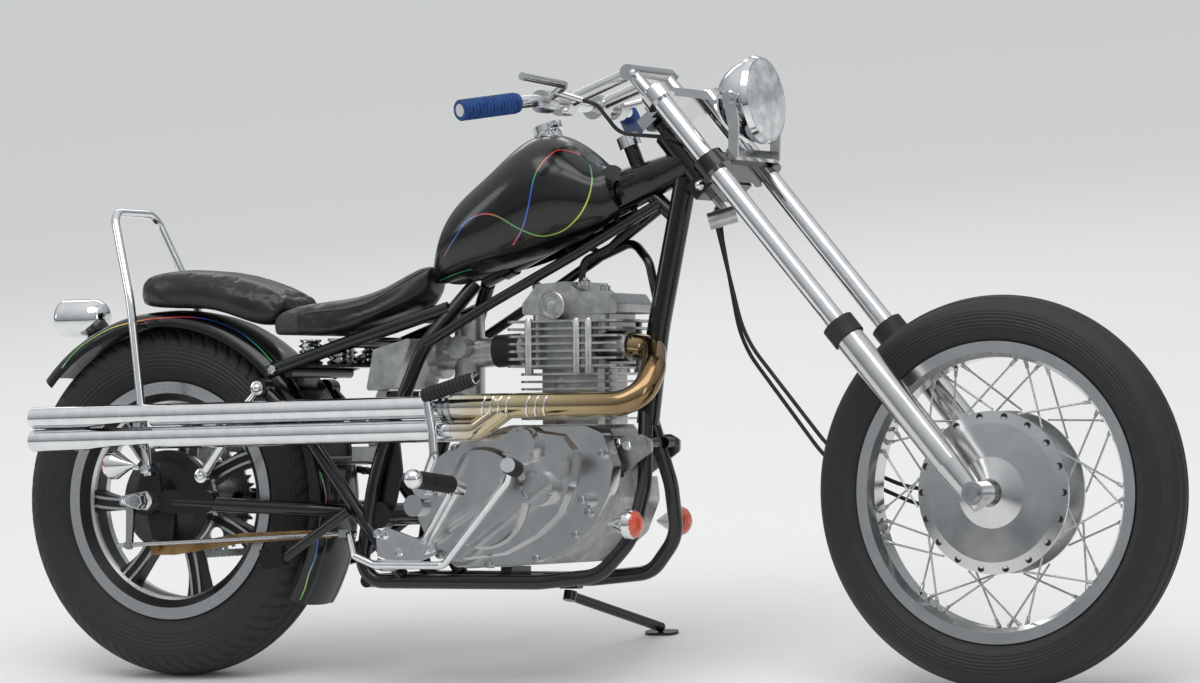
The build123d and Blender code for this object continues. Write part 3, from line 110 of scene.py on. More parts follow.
world = bpy.data.worlds.new("studio air")
bpy.context.scene.world = world
world.use_nodes = True
tree = world.node_tree
tree.nodes.clear()
way = add_node(tree, "ShaderNodeTexCoord")
height = add_node(tree, "ShaderNodeSeparateXYZ", (), {"Vector": way.outputs["Generated"]})
dome = add_node(tree, "ShaderNodeValToRGB", (), {"Fac": height.outputs["Z"]})
dome_stops = [(0.0, "45474a"), (0.11, "9a9ea2"), (0.42, "c4c8cb"), (0.85, "f7f8f9")]
for where, code in dome_stops[1:-1]:
    dome.color_ramp.elements.new(where)
for element, (where, code) in zip(dome.color_ramp.elements, dome_stops):
    element.position = where
    element.color = linear(code)
air = add_node(tree, "ShaderNodeBackground", {"Strength": 0.9}, {"Color": dome.outputs["Color"]})
add_node(tree, "ShaderNodeOutputWorld", (), {"Surface": air.outputs[0]})
for name, place, aim, wide, tall, power in [
    ("overhead softbox", (0.6, -1.2, 4.2), (0, 0, 0.4), 4.5, 2.4, 74),
    ("camera side fill", (-5.6, -3.0, 2.8), (0, 0, 0.5), 1.6, 2.6, 26),
    ("front strip", (5.0, -2.2, 2.2), (0.6, 0, 0.5), 0.9, 2.6, 14),
    ("back strip", (-2.5, 4.0, 3.0), (0, 0, 0.5), 3.5, 1.2, 24),
]:
    light = bpy.data.lights.new(name, "AREA")
    light.shape = "RECTANGLE"
    light.size = wide
    light.size_y = tall
    light.energy = power
    lamp = bpy.data.objects.new(name, light)
    lamp.location = place
    lamp.rotation_euler = (Vector(aim) - Vector(place)).to_track_quat("-Z", "Y").to_euler()
    bpy.context.scene.collection.objects.link(lamp)


# Frame, swinging arm and stand
# Welded round steel tube with gussets and brackets, sprayed in gloss black
# enamel under lacquer: deep black with sharp reflections and a faint ripple.
def finish(tree, settings, links):
    """The surface's shader and the material's output."""
    shader = add_node(tree, "ShaderNodeBsdfPrincipled", settings, links)
    add_node(tree, "ShaderNodeOutputMaterial", (), {"Surface": shader.outputs[0]})


def coated(name, settings, tint, roughness, bump=None):
    """A material whose colour and roughness vary in patches, over a fine relief if it has one.

    tint is the patches' size in millimetres, detail and raggedness, and the dark and light colour.
    roughness is its value on the dark and on the light patches.
    bump is the relief's size in millimetres, detail and raggedness, its depth in millimetres and its strength.
    """
    material = new_material(name)
    tree = material.node_tree
    place = add_node(tree, "ShaderNodeTexCoord").outputs["Object"]
    size, detail, ragged, dark, light = tint
    patches = add_node(tree, "ShaderNodeTexNoise", {"Scale": 1000 / size, "Detail": detail, "Roughness": ragged},
                       {"Vector": place}).outputs[0]
    ramp = add_node(tree, "ShaderNodeValToRGB", (), {"Fac": patches})
    for element, where, code in zip(ramp.color_ramp.elements, (0.3, 0.7), (dark, light)):
        element.position = where
        element.color = linear(code)
    low, high = roughness
    varied = add_node(tree, "ShaderNodeMapRange", {"From Min": 0.3, "From Max": 0.7, "To Min": low, "To Max": high},
                      {"Value": patches})
    links = {"Base Color": ramp.outputs["Color"], "Roughness": varied.outputs["Result"]}
    if bump:
        size, detail, ragged, depth, strength = bump
        relief = add_node(tree, "ShaderNodeTexNoise", {"Scale": 1000 / size, "Detail": detail, "Roughness": ragged},
                          {"Vector": place})
        raised = add_node(tree, "ShaderNodeBump", {"Strength": strength, "Distance": depth / 1000},
                          {"Height": relief.outputs[0]})
        links["Normal"] = raised.outputs["Normal"]
    finish(tree, settings, links)
    return material


def dress(material, *names):
    """Give CAD nodes their finish."""
    for name in names:
        mesh = nodes[name].data
        mesh.materials.clear()
        mesh.materials.append(material)
        mesh.polygons.foreach_set("material_index", [0] * len(mesh.polygons))


enamel = coated("gloss black enamel", {"Coat Weight": 0.3, "Coat Roughness": 0.03, "Specular IOR Level": 0.45},
                (60, 6, 0.6, "040405", "0a0b0c"), (0.16, 0.28), (9, 1, 0.5, 0.02, 0.5))
dress(enamel, "frame", "swingarm", "side_stand", "pillion_pegs", "lower_yoke", "fuel_tank", "rear_fender")

# Rear brake plate
# Cast alloy sprayed satin black: a dull even coat, with the casting's grain
# under it and faint patches where it has been handled.
# The same finish is laid on flat discs on the front hub as painted shade for its drilled holes.
black_paint_and_hole_shade = coated("satin black paint and painted hole shade", {}, (35, 4, 0.5, "0e0e0f", "1a1a1b"), (0.34, 0.5),
                    (0.9, 2, 0.5, 0.05, 0.6))
dress(black_paint_and_hole_shade, "rear_brake_plate")

# Chromed steel
# Copper-nickel-chrome plate on the bars, pipes, pedals, fork tubes and lamp
# shells: a mirror with the faintest haze where it has been wiped.
chrome = coated("chrome plate", {"Metallic": 1.0}, (25, 5, 0.65, "d9dadc", "e9eaeb"), (0.03, 0.11))
dress(chrome, "rigid_struts", "rear_axle", "tail_lamp", "sissy_bar", "filler_caps", "exhaust_header", "exhaust_pipes",
      "footpegs", "brake_pedal", "kick_starter", "gear_pedal", "front_indicators", "rear_indicators", "fork_tubes",
      "headlight", "handlebar", "seat_springs")

# Polished covers, fork legs and front wheel
# Cast or spun aluminium, ground and buffed by hand: bright, with reflections
# that a fine ripple and a film of handling soften a little.
polished = coated("polished aluminium", {"Metallic": 1.0}, (50, 3, 0.5, "c8c9ca", "d6d6d5"), (0.15, 0.21),
                  (6, 6, 0.7, 0.008, 0.3))
dress(polished, "right_cover", "left_cover", "upper_yoke", "fork_legs", "headlight_bracket", "risers", "levers",
      "front_brake_plate", "front_rim", "front_hub")

# Engine castings
# Sand cast aluminium, bead blasted: pale and matt with a fine pitted skin,
# and faint stains where oil has been.
cast_alloy = coated("bead blasted cast aluminium", {"Metallic": 1.0}, (18, 5, 0.6, "a7a8a8", "c9c9c7"), (0.3, 0.42),
                    (0.8, 3, 0.5, 0.06, 0.5))
dress(cast_alloy, "crankcase", "cylinder", "cylinder_head", "head_cover", "carburettor", "engine_plates",
      "electrics_box", "lock_switch")

# Chain, spokes and brake linkage
# Steel rod and plate under clear passivated zinc: an even light grey with a
# small spangle, dull next to the chrome.
zinc = coated("zinc plated steel", {"Metallic": 1.0}, (4, 4, 0.5, "abadae", "bdbebe"), (0.24, 0.3))
dress(zinc, "brake_linkage", "drive_chain", "engine_sprocket", "rear_sprocket", "front_axle", "front_spokes")

# Torque rod
# Flat steel bar that holds the rear brake plate, zinc plated and passivated
# yellow: a dull brassy brown that clouds along its length.
bronze = coated("yellow passivated steel", {"Metallic": 1.0}, (22, 4, 0.5, "8a6a42", "b5946a"), (0.28, 0.42))
dress(bronze, "torque_rod")

# Hoses, seals and cables
# Moulded and extruded black rubber, fitted over steel: dark grey and matt,
# lightened in patches by a faint bloom.
moulded = coated("moulded black rubber", {}, (12, 4, 0.5, "141415", "202021"), (0.5, 0.68))
dress(moulded, "intake_boot", "dust_seals", "front_cables", "hoses")

# Hand grips
# Soft blue rubber sleeves pushed over the ends of the bar, which hands have
# worn a little shiny in places.
grip_rubber = coated("ribbed blue rubber", {}, (14, 4, 0.5, "0c2f66", "1a4a8e"), (0.45, 0.6))
dress(grip_rubber, "grips")

# Tyres
# Vulcanised road tyres: a ribbed front one and a rear one with zigzag grooves
# and slanted shoulder cuts, drawn as one ring each with the beads in the rim.
tyre_rubber = coated("tyre rubber", {}, (30, 6, 0.65, "1a1a1b", "2a2a2a"), (0.55, 0.75))
dress(tyre_rubber, "front_tyre", "rear_tyre")
lean_angle = radians(11.1)
middle_x, middle_y = 824.0, 114.0
rear_crown = 66.0
stance = (Matrix.Scale(0.001, 4)
          @ Matrix.Translation((-middle_x, -middle_y, rear_crown * (1 - cos(lean_angle))))
          @ Matrix.Rotation(-lean_angle, 4, "X"))
upright = stance.inverted()
front_axle = Vector((1636, 0, 332))
rear_axle = Vector((0, 0, 320))


def finished(name, mesh, material, body, sharp=35):
    """Lean a mesh drawn upright in millimetres, and make it a piece that rides on a body."""
    mesh.transform(stance)
    mesh.materials.clear()
    mesh.materials.append(material)
    mesh.shade_smooth()
    mesh.set_sharp_from_angle(angle=radians(sharp))
    piece = bpy.data.objects.new(name, mesh)
    bpy.context.scene.collection.objects.link(piece)
    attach(piece, body)
    return piece


def drawn(name, shape, material, body, sharp=35):
    """Finish a shape drawn face by face, its normals turned outwards."""
    bmesh.ops.recalc_face_normals(shape, faces=shape.faces)
    mesh = bpy.data.meshes.new(name)
    shape.to_mesh(mesh)
    shape.free()
    return finished(name, mesh, material, body, sharp)


def arc_through(a, b, c, steps):
    """Places on the circle through three places of a plane, from the first to the last."""
    ax, ay = a
    bx, by = b
    cx, cy = c
    d = 2 * (ax * (by - cy) + bx * (cy - ay) + cx * (ay - by))
    ux = ((ax**2 + ay**2) * (by - cy) + (bx**2 + by**2) * (cy - ay) + (cx**2 + cy**2) * (ay - by)) / d
    uy = ((ax**2 + ay**2) * (cx - bx) + (bx**2 + by**2) * (ax - cx) + (cx**2 + cy**2) * (bx - ax)) / d
    first = atan2(ay - uy, ax - ux)
    turn = atan2(by - uy, bx - ux) - first
    turn = (turn + pi) % (2 * pi) - pi
    last = atan2(cy - uy, cx - ux) - atan2(by - uy, bx - ux)
    last = (last + pi) % (2 * pi) - pi
    radius = sqrt((ax - ux)**2 + (ay - uy)**2)
    angles = [first + (turn + last) * k / steps for k in range(steps + 1)]
    return [(ux + radius * cos(angle), uy + radius * sin(angle)) for angle in angles]


def tyre(name, axle, body, outer, half, crown, flange, rim_half, around, across, cut):
    """A tyre whose tread is lowered by cut(side, turn) millimetres."""
    wall_steps, first_rib, tread_from = 48, 15, 40
    rib_height = 0.8
    rim_gap = 0.6
    bead_inset = 4.3
    bead_depth = 12.5
    shoulder = 0.8 * half
    shoulder_r = outer - crown + sqrt(crown**2 - shoulder**2)
    middle = (flange + rim_gap + shoulder_r) / 2 - 4
    bead = rim_half - bead_inset
    wall = arc_through((bead, flange + rim_gap), (half, middle), (shoulder, shoulder_r), wall_steps)
    flank = [(bead, flange - bead_depth, False)]
    for k, (side, r) in enumerate(wall[:-1]):
        rib = rib_height * cos(pi * k / 2) if first_rib <= k < tread_from else 0
        flank.append((side + rib, r, k >= tread_from))
    section = list(flank)
    for k in range(across + 1):
        side = shoulder - 2 * shoulder * k / across
        section.append((side, outer - crown + sqrt(crown**2 - side**2), True))
    section += [(-side, r, tread) for side, r, tread in reversed(flank)]
    places = []
    for j in range(around):
        turn = 2 * pi * j / around
        for side, r, tread in section:
            if tread:
                r -= cut(side, turn)
            places.append((axle.x + r * cos(turn), side, axle.z + r * sin(turn)))
    n = len(section)
    faces = []
    for j in range(around):
        k = (j + 1) % around
        for i in range(n):
            m = (i + 1) % n
            faces.append((j * n + i, j * n + m, k * n + m, k * n + i))
    mesh = bpy.data.meshes.new(name)
    mesh.from_pydata(places, [], faces)
    mesh.update()
    return finished(name, mesh, tyre_rubber, body, 28)


def front_cut(side, turn):
    """Four straight grooves with soft edges."""
    depth, slope, half_width = 3.4, 1.5, 1.0
    nearest = min(abs(abs(side) - groove) for groove in (8.5, 24.0))
    return max(0.0, depth - slope * max(0.0, nearest - half_width))


def rear_cut(side, turn):
    """Three zigzag grooves, and slanted cuts over the shoulders."""
    depth, slope, half_width, swing, blocks = 4.6, 2.2, 1.2, 3.0, 66
    block = turn * blocks / (2 * pi)
    wave = abs(block % 1 - 0.5) * 4 - 1
    nearest = min(abs(side - groove - swing * wave) for groove in (-21.0, 0.0, 21.0))
    lowered = max(0.0, depth - slope * max(0.0, nearest - half_width))
    cuts_from, cut_depth, cut_share, slant = 32, 4.2, 0.27, 0.035
    if abs(side) > cuts_from and (block + (abs(side) - cuts_from) * slant) % 1 < cut_share:
        lowered = max(lowered, cut_depth)
    return lowered


new_front_tyre = tyre("front_tyre_ribbed", front_axle, "front_wheel", outer=332, half=47, crown=52, flange=254,
                      rim_half=33, around=200, across=76, cut=front_cut)
new_rear_tyre = tyre("rear_tyre_grooved", rear_axle, "rear_wheel", outer=320, half=62, crown=rear_crown, flange=217,
                     rim_half=46, around=462, across=84, cut=rear_cut)
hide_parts("front_tyre")
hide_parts("rear_tyre")

# Cast rear wheel
# One-piece cast alloy painted satin black. The rim's lip and the two ridges of
# each spoke are machined after painting, to bare metal with fine turning marks.
lip_side, lip_radius = 0.036, 0.196       # metres from the wheel's middle plane and from its axle
right_face, left_face = -0.0184, 0.0124
hub_edge, ridge_end = 0.058, 0.182
axle_way = (stance.to_3x3() @ Vector((0, 1, 0))).normalized()
machined = new_material("black paint machined bright")
tree = machined.node_tree
place = add_node(tree, "ShaderNodeTexCoord").outputs["Object"]
from_axle = add_node(tree, "ShaderNodeVectorMath", {"operation": "SUBTRACT", 1: stance @ rear_axle}, {0: place})
sideways = add_node(tree, "ShaderNodeVectorMath", {"operation": "DOT_PRODUCT", 1: axle_way}, {0: from_axle.outputs[0]})
outward = add_node(tree, "ShaderNodeVectorMath", {"operation": "CROSS_PRODUCT", 1: axle_way}, {0: from_axle.outputs[0]})
side = sideways.outputs["Value"]
radius = add_node(tree, "ShaderNodeVectorMath", {"operation": "LENGTH"}, {0: outward.outputs[0]}).outputs["Value"]
away = add_node(tree, "ShaderNodeMath", {"operation": "ABSOLUTE"}, {0: side}).outputs[0]
masks = {}
for name, operation, source, limit in [
    ("outer side", "GREATER_THAN", away, lip_side),
    ("outer ring", "GREATER_THAN", radius, lip_radius),
    ("right face", "LESS_THAN", side, right_face),
    ("left face", "GREATER_THAN", side, left_face),
    ("past hub", "GREATER_THAN", radius, hub_edge),
    ("before end", "LESS_THAN", radius, ridge_end),
]:
    masks[name] = add_node(tree, "ShaderNodeMath", {"operation": operation, 1: limit}, {0: source}).outputs[0]
for name, operation, first, second in [
    ("lip", "MULTIPLY", "outer side", "outer ring"),
    ("faces", "ADD", "right face", "left face"),
    ("reach", "MULTIPLY", "past hub", "before end"),
    ("ridges", "MULTIPLY", "faces", "reach"),
    ("bright", "MAXIMUM", "lip", "ridges"),
]:
    masks[name] = add_node(tree, "ShaderNodeMath", {"operation": operation},
                           {0: masks[first], 1: masks[second]}).outputs[0]
across_marks = add_node(tree, "ShaderNodeMath", {"operation": "MULTIPLY", 1: 900.0}, {0: radius})
turning = add_node(tree, "ShaderNodeTexNoise", {"Scale": 2.0, "Detail": 2.0, "noise_dimensions": "1D"},
                   {"W": across_marks.outputs[0]})
grain = add_node(tree, "ShaderNodeTexNoise", {"Scale": 1000 / 0.9, "Detail": 2, "Roughness": 0.5}, {"Vector": place})
coat = add_node(tree, "ShaderNodeMix", {"data_type": "RGBA"}, {"Factor": masks["bright"]})
for socket, pattern, dark, light in [(6, grain, "0d0d0e", "171718"), (7, turning, "c2c3c4", "d8d8d7")]:
    ramp = add_node(tree, "ShaderNodeValToRGB", (), {"Fac": pattern.outputs[0]})
    for element, where, code in zip(ramp.color_ramp.elements, (0.3, 0.7), (dark, light)):
        element.position = where
        element.color = linear(code)
    tree.links.new(ramp.outputs["Color"], coat.inputs[socket])
painted = add_node(tree, "ShaderNodeMapRange", {"From Min": 0.3, "From Max": 0.7, "To Min": 0.34, "To Max": 0.46},
                   {"Value": grain.outputs[0]})
smoother = add_node(tree, "ShaderNodeMath", {"operation": "MULTIPLY", 1: 0.17}, {0: masks["bright"]})
roughness = add_node(tree, "ShaderNodeMath", {"operation": "SUBTRACT"},
                     {0: painted.outputs["Result"], 1: smoother.outputs[0]})
raised = add_node(tree, "ShaderNodeBump", {"Strength": 0.4, "Distance": 0.03 / 1000}, {"Height": grain.outputs[0]})
finish(tree, {}, {"Base Color": coat.outputs[2], "Metallic": masks["bright"], "Roughness": roughness.outputs[0],
                  "Normal": raised.outputs["Normal"]})
dress(machined, "rear_cast_wheel")

# Pinstripes
# Thin hand-lined enamel on the tank and fender that fades through the
# spectrum along each line; each is laid on the panel as a ribbon of paint.
def smooth_run(points, per):
    """Places along a smooth line through points."""
    points = [Vector(p) for p in points]
    ends = [points[0] * 2 - points[1]] + points + [points[-1] * 2 - points[-2]]
    run = []
    for a, b, c, d in zip(ends, ends[1:], ends[2:], ends[3:]):
        for k in range(per):
            t = k / per
            run.append(0.5 * (2 * b + (c - a) * t + (2 * a - 5 * b + 4 * c - d) * t**2
                              + (3 * b - a - 3 * c + d) * t**3))
    run.append(points[-1])
    return run


panels = {}


def panel(name):
    """The surface of a CAD panel, upright in millimetres."""
    if name not in panels:
        mesh = nodes[name].data
        panels[name] = BVHTree.FromPolygons([upright @ v.co for v in mesh.vertices],
                                            [tuple(f.vertices) for f in mesh.polygons])
    return panels[name]


def lining(name, stops):
    """Gloss lining paint whose colour runs through its stops along the line."""
    paint = new_material(name)
    tree = paint.node_tree
    run = add_node(tree, "ShaderNodeUVMap", {"uv_map": "run"})
    along = add_node(tree, "ShaderNodeSeparateXYZ", (), {"Vector": run.outputs[0]})
    ramp = add_node(tree, "ShaderNodeValToRGB", (), {"Fac": along.outputs["X"]})
    while len(ramp.color_ramp.elements) < len(stops):
        ramp.color_ramp.elements.new(0.5)
    for element, (place, code) in zip(ramp.color_ramp.elements, stops):
        element.position = place
        element.color = linear(code)
    finish(tree, {"Roughness": 0.25, "Coat Weight": 1.0, "Coat Roughness": 0.03}, {"Base Color": ramp.outputs["Color"]})
    return paint


def stripe(name, panel_name, points, stops, width=2.6):
    """Lay a line of paint on a panel's right side, and the same on its left."""
    surface = panel(panel_name)
    mesh = bpy.data.meshes.new(name)
    places, faces, runs = [], [], []
    for flip in (1, -1):
        line = [Vector((p.x, p.y * flip, p.z)) for p in smooth_run(points, 6)]
        start = len(places)
        for k, place in enumerate(line):
            way = (line[min(k + 1, len(line) - 1)] - line[max(k - 1, 0)]).normalized()
            hit, normal, _, _ = surface.find_nearest(place)
            if normal.dot(Vector((0, -flip, 0.4))) < 0:
                normal = -normal
            across = way.cross(normal).normalized() * width / 2
            for edge in (-1, 1):
                places.append(hit + normal * 0.35 + across * edge)
                runs.append((k / (len(line) - 1), 0.5 + 0.5 * edge))
        for k in range(len(line) - 1):
            a = start + 2 * k
            faces.append((a, a + 1, a + 3, a + 2))
    mesh.from_pydata(places, [], faces)
    uv = mesh.uv_layers.new(name="run")
    for loop in mesh.loops:
        uv.data[loop.index].uv = runs[loop.vertex_index]
    mesh.update()
    shape = bmesh.new()
    shape.from_mesh(mesh)
    for face in shape.faces:
        middle = face.calc_center_median()
        if face.normal.dot(middle - surface.find_nearest(middle)[0]) < 0:
            face.normal_flip()
    shape.to_mesh(mesh)
    shape.free()
    return finished(name, mesh, lining(name + " enamel", stops), "chassis")


stripe("tank_stripe_long", "fuel_tank", [
    (862, -40, 928), (830.8, -63.2, 931.6), (818.9, -85.2, 918.8), (805.5, -101.1, 894.2),
    (799.7, -105.2, 875.0), (796.1, -106.3, 857.7), (789.4, -105.5, 830.0), (772.0, -96.5, 794.1),
    (747.1, -84.7, 767.1)],
    [(0.0, "d8322c"), (0.28, "d8322c"), (0.42, "2f9e63"), (0.6, "2b62c8"), (0.82, "2b62c8"), (1.0, "d8322c")])
stripe("tank_stripe_loop", "fuel_tank", [
    (599.4, -70.8, 749.9), (617.4, -80.4, 768.7), (636.3, -88.2, 787.4), (660.7, -94.9, 811.1),
    (697.0, -101.7, 822.2), (730.9, -104.8, 815.9), (771.6, -95.7, 792.4), (802.2, -79.1, 781.6),
    (837.8, -71.2, 789.6), (871.7, -74.9, 813.0), (891.0, -73.3, 843.9), (892.3, -60.5, 877.3), (876, -40, 905)],
    [(0.0, "b0402c"), (0.1, "3158b0"), (0.26, "3158b0"), (0.36, "cf4a32"), (0.46, "2fa05c"), (0.66, "9fc83c"),
     (0.8, "d6d23a"), (0.92, "58b060"), (1.0, "3a7f58")])
stripe("tank_stripe_low", "fuel_tank", [
    (573.2, -42, 708.7), (600.6, -52.2, 716.7), (626.2, -57.6, 723.1), (650.2, -60.5, 727.8)],
    [(0.0, "2a6a40"), (1.0, "3f9a5c")])
stripe("fender_stripe", "rear_fender", [
    (-214.9, -72.0, 564.5), (-187.6, -69.4, 593.6), (-163.4, -69.0, 609.8), (-132.7, -68.5, 625.8),
    (-106.4, -68.2, 636.4), (-77.1, -69.2, 643.2), (-22.4, -69.3, 651.4), (10.0, -68.9, 652.7),
    (50.7, -64.9, 653.8), (90.2, -59.2, 649.6), (124.4, -55.6, 639.9), (162.0, -54.3, 623.0),
    (197.1, -56.1, 600.7), (233.0, -59.6, 569.5)],
    [(0.0, "2f9a58"), (0.2, "7fbf3a"), (0.36, "d9cf3a"), (0.46, "d6452d"), (0.62, "c83a38"), (0.7, "2f66cc"),
     (0.84, "2f66cc"), (0.94, "35b08a"), (1.0, "3fb44a")])
stripe("fender_stripe_low", "rear_fender", [
    (334.9, -63.7, 371.0), (340.5, -59.5, 345.9), (342.8, -56.8, 320.7), (335.2, -65.5, 285.1),
    (330.2, -64.8, 249.3), (322.8, -63.5, 217.0), (311.1, -65.4, 190.1), (300.8, -62.9, 163.0),
    (289.4, -61.8, 141.4)],
    [(0.0, "3fae58"), (0.15, "c8ccc8"), (0.28, "cc4038"), (0.42, "2b5fc4"), (0.66, "3f86d8"), (0.85, "a8c83e"),
     (1.0, "48a850")])

# Rigid struts
# Chromed round bars with an eye at each end, bolted where a suspended
# machine has its shock absorbers.
def turned(shape, foot, way, profile, steps):
    """Add a solid turned about a line: its profile is pairs of distance along and radius."""
    foot = Vector(foot)
    way = Vector(way).normalized()
    out = way.orthogonal().normalized()
    other = way.cross(out)
    spokes = [out * cos(2 * pi * k / steps) + other * sin(2 * pi * k / steps) for k in range(steps)]
    rings = []
    for along, radius in profile:
        middle = foot + way * along
        rings.append([shape.verts.new(middle + spoke * radius) for spoke in (spokes if radius else spokes[:1])])
    for near, far in zip(rings, rings[1:]):
        for k in range(steps):
            after = (k + 1) % steps
            corners = [near[k % len(near)], near[after % len(near)], far[after % len(far)], far[k % len(far)]]
            face = [c for i, c in enumerate(corners) if c not in corners[:i]]
            if len(face) > 2:
                shape.faces.new(face)
    for ring in (rings[0], rings[-1]):
        if len(ring) > 1:
            shape.faces.new(ring)


eye_half = 6.5
eye_profile = [(0, 11), (1, 13), (12, 13), (13, 11)]
cap_profile = [(-1, 8), (1.2, 8), (3.5, 6.5), (5, 3.5), (5.5, 0)]
bar_profile = [(0, 6), (6, 9), (150, 9), (156, 9), (172, 6), (178, 6)]
shape = bmesh.new()
for side in (-1, 1):
    low, high = Vector((126, side * 128, 366)), Vector((246, side * 128, 522))
    along = (high - low).normalized()
    for eye in (low, high):
        turned(shape, eye + Vector((0, -eye_half, 0)), (0, 1, 0), eye_profile, 32)
        turned(shape, eye + Vector((0, side * eye_half, 0)), (0, side, 0), cap_profile, 24)
    turned(shape, low + along * 8, along, bar_profile, 32)
struts = drawn("strut_bars", shape, chrome, "chassis")
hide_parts("rigid_struts")

# Seats
# Foam pads under black saddle leather: a pillion pad with faint cross pleats
# and a rider's saddle whose rear panel is a browner hide, sewn on along a seam.
# The lighter patches in the colour of both leathers are painted sheen.
leather = coated("black saddle leather", {}, (45, 4, 0.5, "121214", "222225"), (0.28, 0.42), (1.6, 4, 0.6, 0.25, 0.5))
saddle_hide = coated("brown black saddle hide", {}, (38, 4, 0.5, "2b2724", "3d3833"), (0.42, 0.56),
                     (1.6, 4, 0.6, 0.25, 0.5))
dress(leather, "pillion_seat", "rider_seat")
voxel = 0.005            # metres, as are the three that follow
shrink = 0.003
most_swelling = 0.005
pleat_depth, seam_depth = 0.0011, 0.0022
air_pressure, blow_frames = 4, 20
underside = 0.55         # least cosine between a vertex's normal and straight down


def seat(name, node, material):
    """A pad blown up a little from its CAD form, resting on its flat underside."""
    mesh = nodes[node].data.copy()
    mesh.materials.clear()
    shape = bmesh.new()
    shape.from_mesh(mesh)
    bmesh.ops.remove_doubles(shape, verts=shape.verts, dist=0.00001)
    shape.to_mesh(mesh)
    shape.free()
    pad = bpy.data.objects.new(name, mesh)
    bpy.context.scene.collection.objects.link(pad)
    bpy.context.view_layer.objects.active = pad
    remesh = pad.modifiers.new("even skin", "REMESH")
    remesh.mode = "VOXEL"
    remesh.voxel_size = voxel
    even = bpy.data.meshes.new_from_object(pad.evaluated_get(bpy.context.evaluated_depsgraph_get()))
    pad.modifiers.clear()
    pad.data = even
    shape = bmesh.new()
    shape.from_mesh(even)
    bmesh.ops.recalc_face_normals(shape, faces=shape.faces)
    shape.normal_update()
    for vertex in shape.verts:
        vertex.co -= vertex.normal * shrink
    shape.to_mesh(even)
    shape.free()
    held = pad.vertex_groups.new(name="held")
    down = (upright.to_3x3().inverted() @ Vector((0, 0, -1))).normalized()
    held.add([v.index for v in even.vertices if v.normal.dot(down) > underside], 1.0, "REPLACE")
    before = [v.co.copy() for v in even.vertices]
    cloth = pad.modifiers.new("blown up", "CLOTH")
    cloth.settings.use_pressure = True
    cloth.settings.uniform_pressure_force = air_pressure
    cloth.settings.effector_weights.gravity = 0
    cloth.settings.vertex_group_mass = "held"
    cloth.point_cache.frame_start = 1
    cloth.point_cache.frame_end = blow_frames
    for step in range(1, blow_frames + 1):
        bpy.context.scene.frame_set(step)
    blown = bpy.data.meshes.new_from_object(pad.evaluated_get(bpy.context.evaluated_depsgraph_get()))
    pad.modifiers.clear()
    for vertex, place in zip(blown.vertices, before):
        move = vertex.co - place
        if move.length > most_swelling:
            vertex.co = place + move.normalized() * most_swelling
    pad.data = blown
    bpy.context.scene.frame_set(1)
    smooth = pad.modifiers.new("round skin", "SUBSURF")
    smooth.levels = smooth.render_levels = 1
    skin = bpy.data.meshes.new_from_object(pad.evaluated_get(bpy.context.evaluated_depsgraph_get()))
    pad.modifiers.clear()
    pad.data = skin
    skin.materials.clear()
    skin.materials.append(material)
    skin.shade_smooth()
    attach(pad, "chassis")
    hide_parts(node)
    return pad


def from_line(place, line):
    """Distance from a place to a broken line, in millimetres."""
    best = 1e9
    for a, b in zip(line, line[1:]):
        along = b - a
        t = max(0.0, min(1.0, (place - a).dot(along) / along.length_squared))
        best = min(best, (place - a - along * t).length)
    return best


def swept(shape, points, radius, steps, per):
    """Add a round rod or tube along a smooth line."""
    run = smooth_run(points, per)
    rings = []
    across = None
    for k, place in enumerate(run):
        way = (run[min(k + 1, len(run) - 1)] - run[max(k - 1, 0)]).normalized()
        across = (way.orthogonal() if across is None else across - way * across.dot(way)).normalized()
        other = way.cross(across)
        turns = [2 * pi * i / steps for i in range(steps)]
        rings.append([shape.verts.new(place + (across * cos(t) + other * sin(t)) * radius) for t in turns])
    for near, far in zip(rings, rings[1:]):
        for i in range(steps):
            shape.faces.new((near[i], near[(i + 1) % steps], far[(i + 1) % steps], far[i]))
    shape.faces.new(rings[0])
    shape.faces.new(rings[-1])


pillion = seat("pillion_pad", "pillion_seat", leather)
pleat_pitch, pleat_half, pleat_reach = 44, 4.0, 80
pad_edge, pad_fade = 655, 20
for vertex in pillion.data.vertices:
    place = upright @ vertex.co
    if place.z > pad_edge and abs(place.y) < pleat_reach:
        pleat = min(abs((place.x + 40) % pleat_pitch - pleat_pitch / 2), pleat_half) / pleat_half
        vertex.co -= vertex.normal * pleat_depth * (1 - pleat) * min(1.0, (place.z - pad_edge) / pad_fade)

seam = smooth_run([
    (330, -121, 655), (350.9, -119.4, 658.4), (386.1, -115.4, 661.3), (416.7, -107.6, 664.4),
    (446.2, -94.6, 671.2), (464.4, -83.4, 681.7), (481.5, -70.2, 695.8), (507.3, -50.7, 715.2), (530, -30, 728)], 3)
seam_half = 5
rear_panel_to = 322
piping_radius, piping_lift = 1.7, 0.4
saddle = seat("saddle_pad", "rider_seat", leather)
skin = saddle.data
skin.materials.append(saddle_hide)
for vertex in skin.vertices:
    place = upright @ vertex.co
    place.y = -abs(place.y)
    near = from_line(place, seam)
    if near < seam_half:
        vertex.co -= vertex.normal * seam_depth * (1 - near / seam_half)
for face in skin.polygons:
    if (upright @ face.center).x < rear_panel_to:
        face.material_index = 1
surface = BVHTree.FromPolygons([upright @ v.co for v in skin.vertices], [tuple(f.vertices) for f in skin.polygons])
for side in (1, -1):
    points = []
    for place in seam:
        hit, normal, _, _ = surface.find_nearest(Vector((place.x, place.y * side, place.z)))
        points.append(hit + normal * piping_lift)
    shape = bmesh.new()
    swept(shape, points, piping_radius, 8, 2)
    drawn("saddle_piping_" + ("right" if side == 1 else "left"), shape, leather, "chassis")

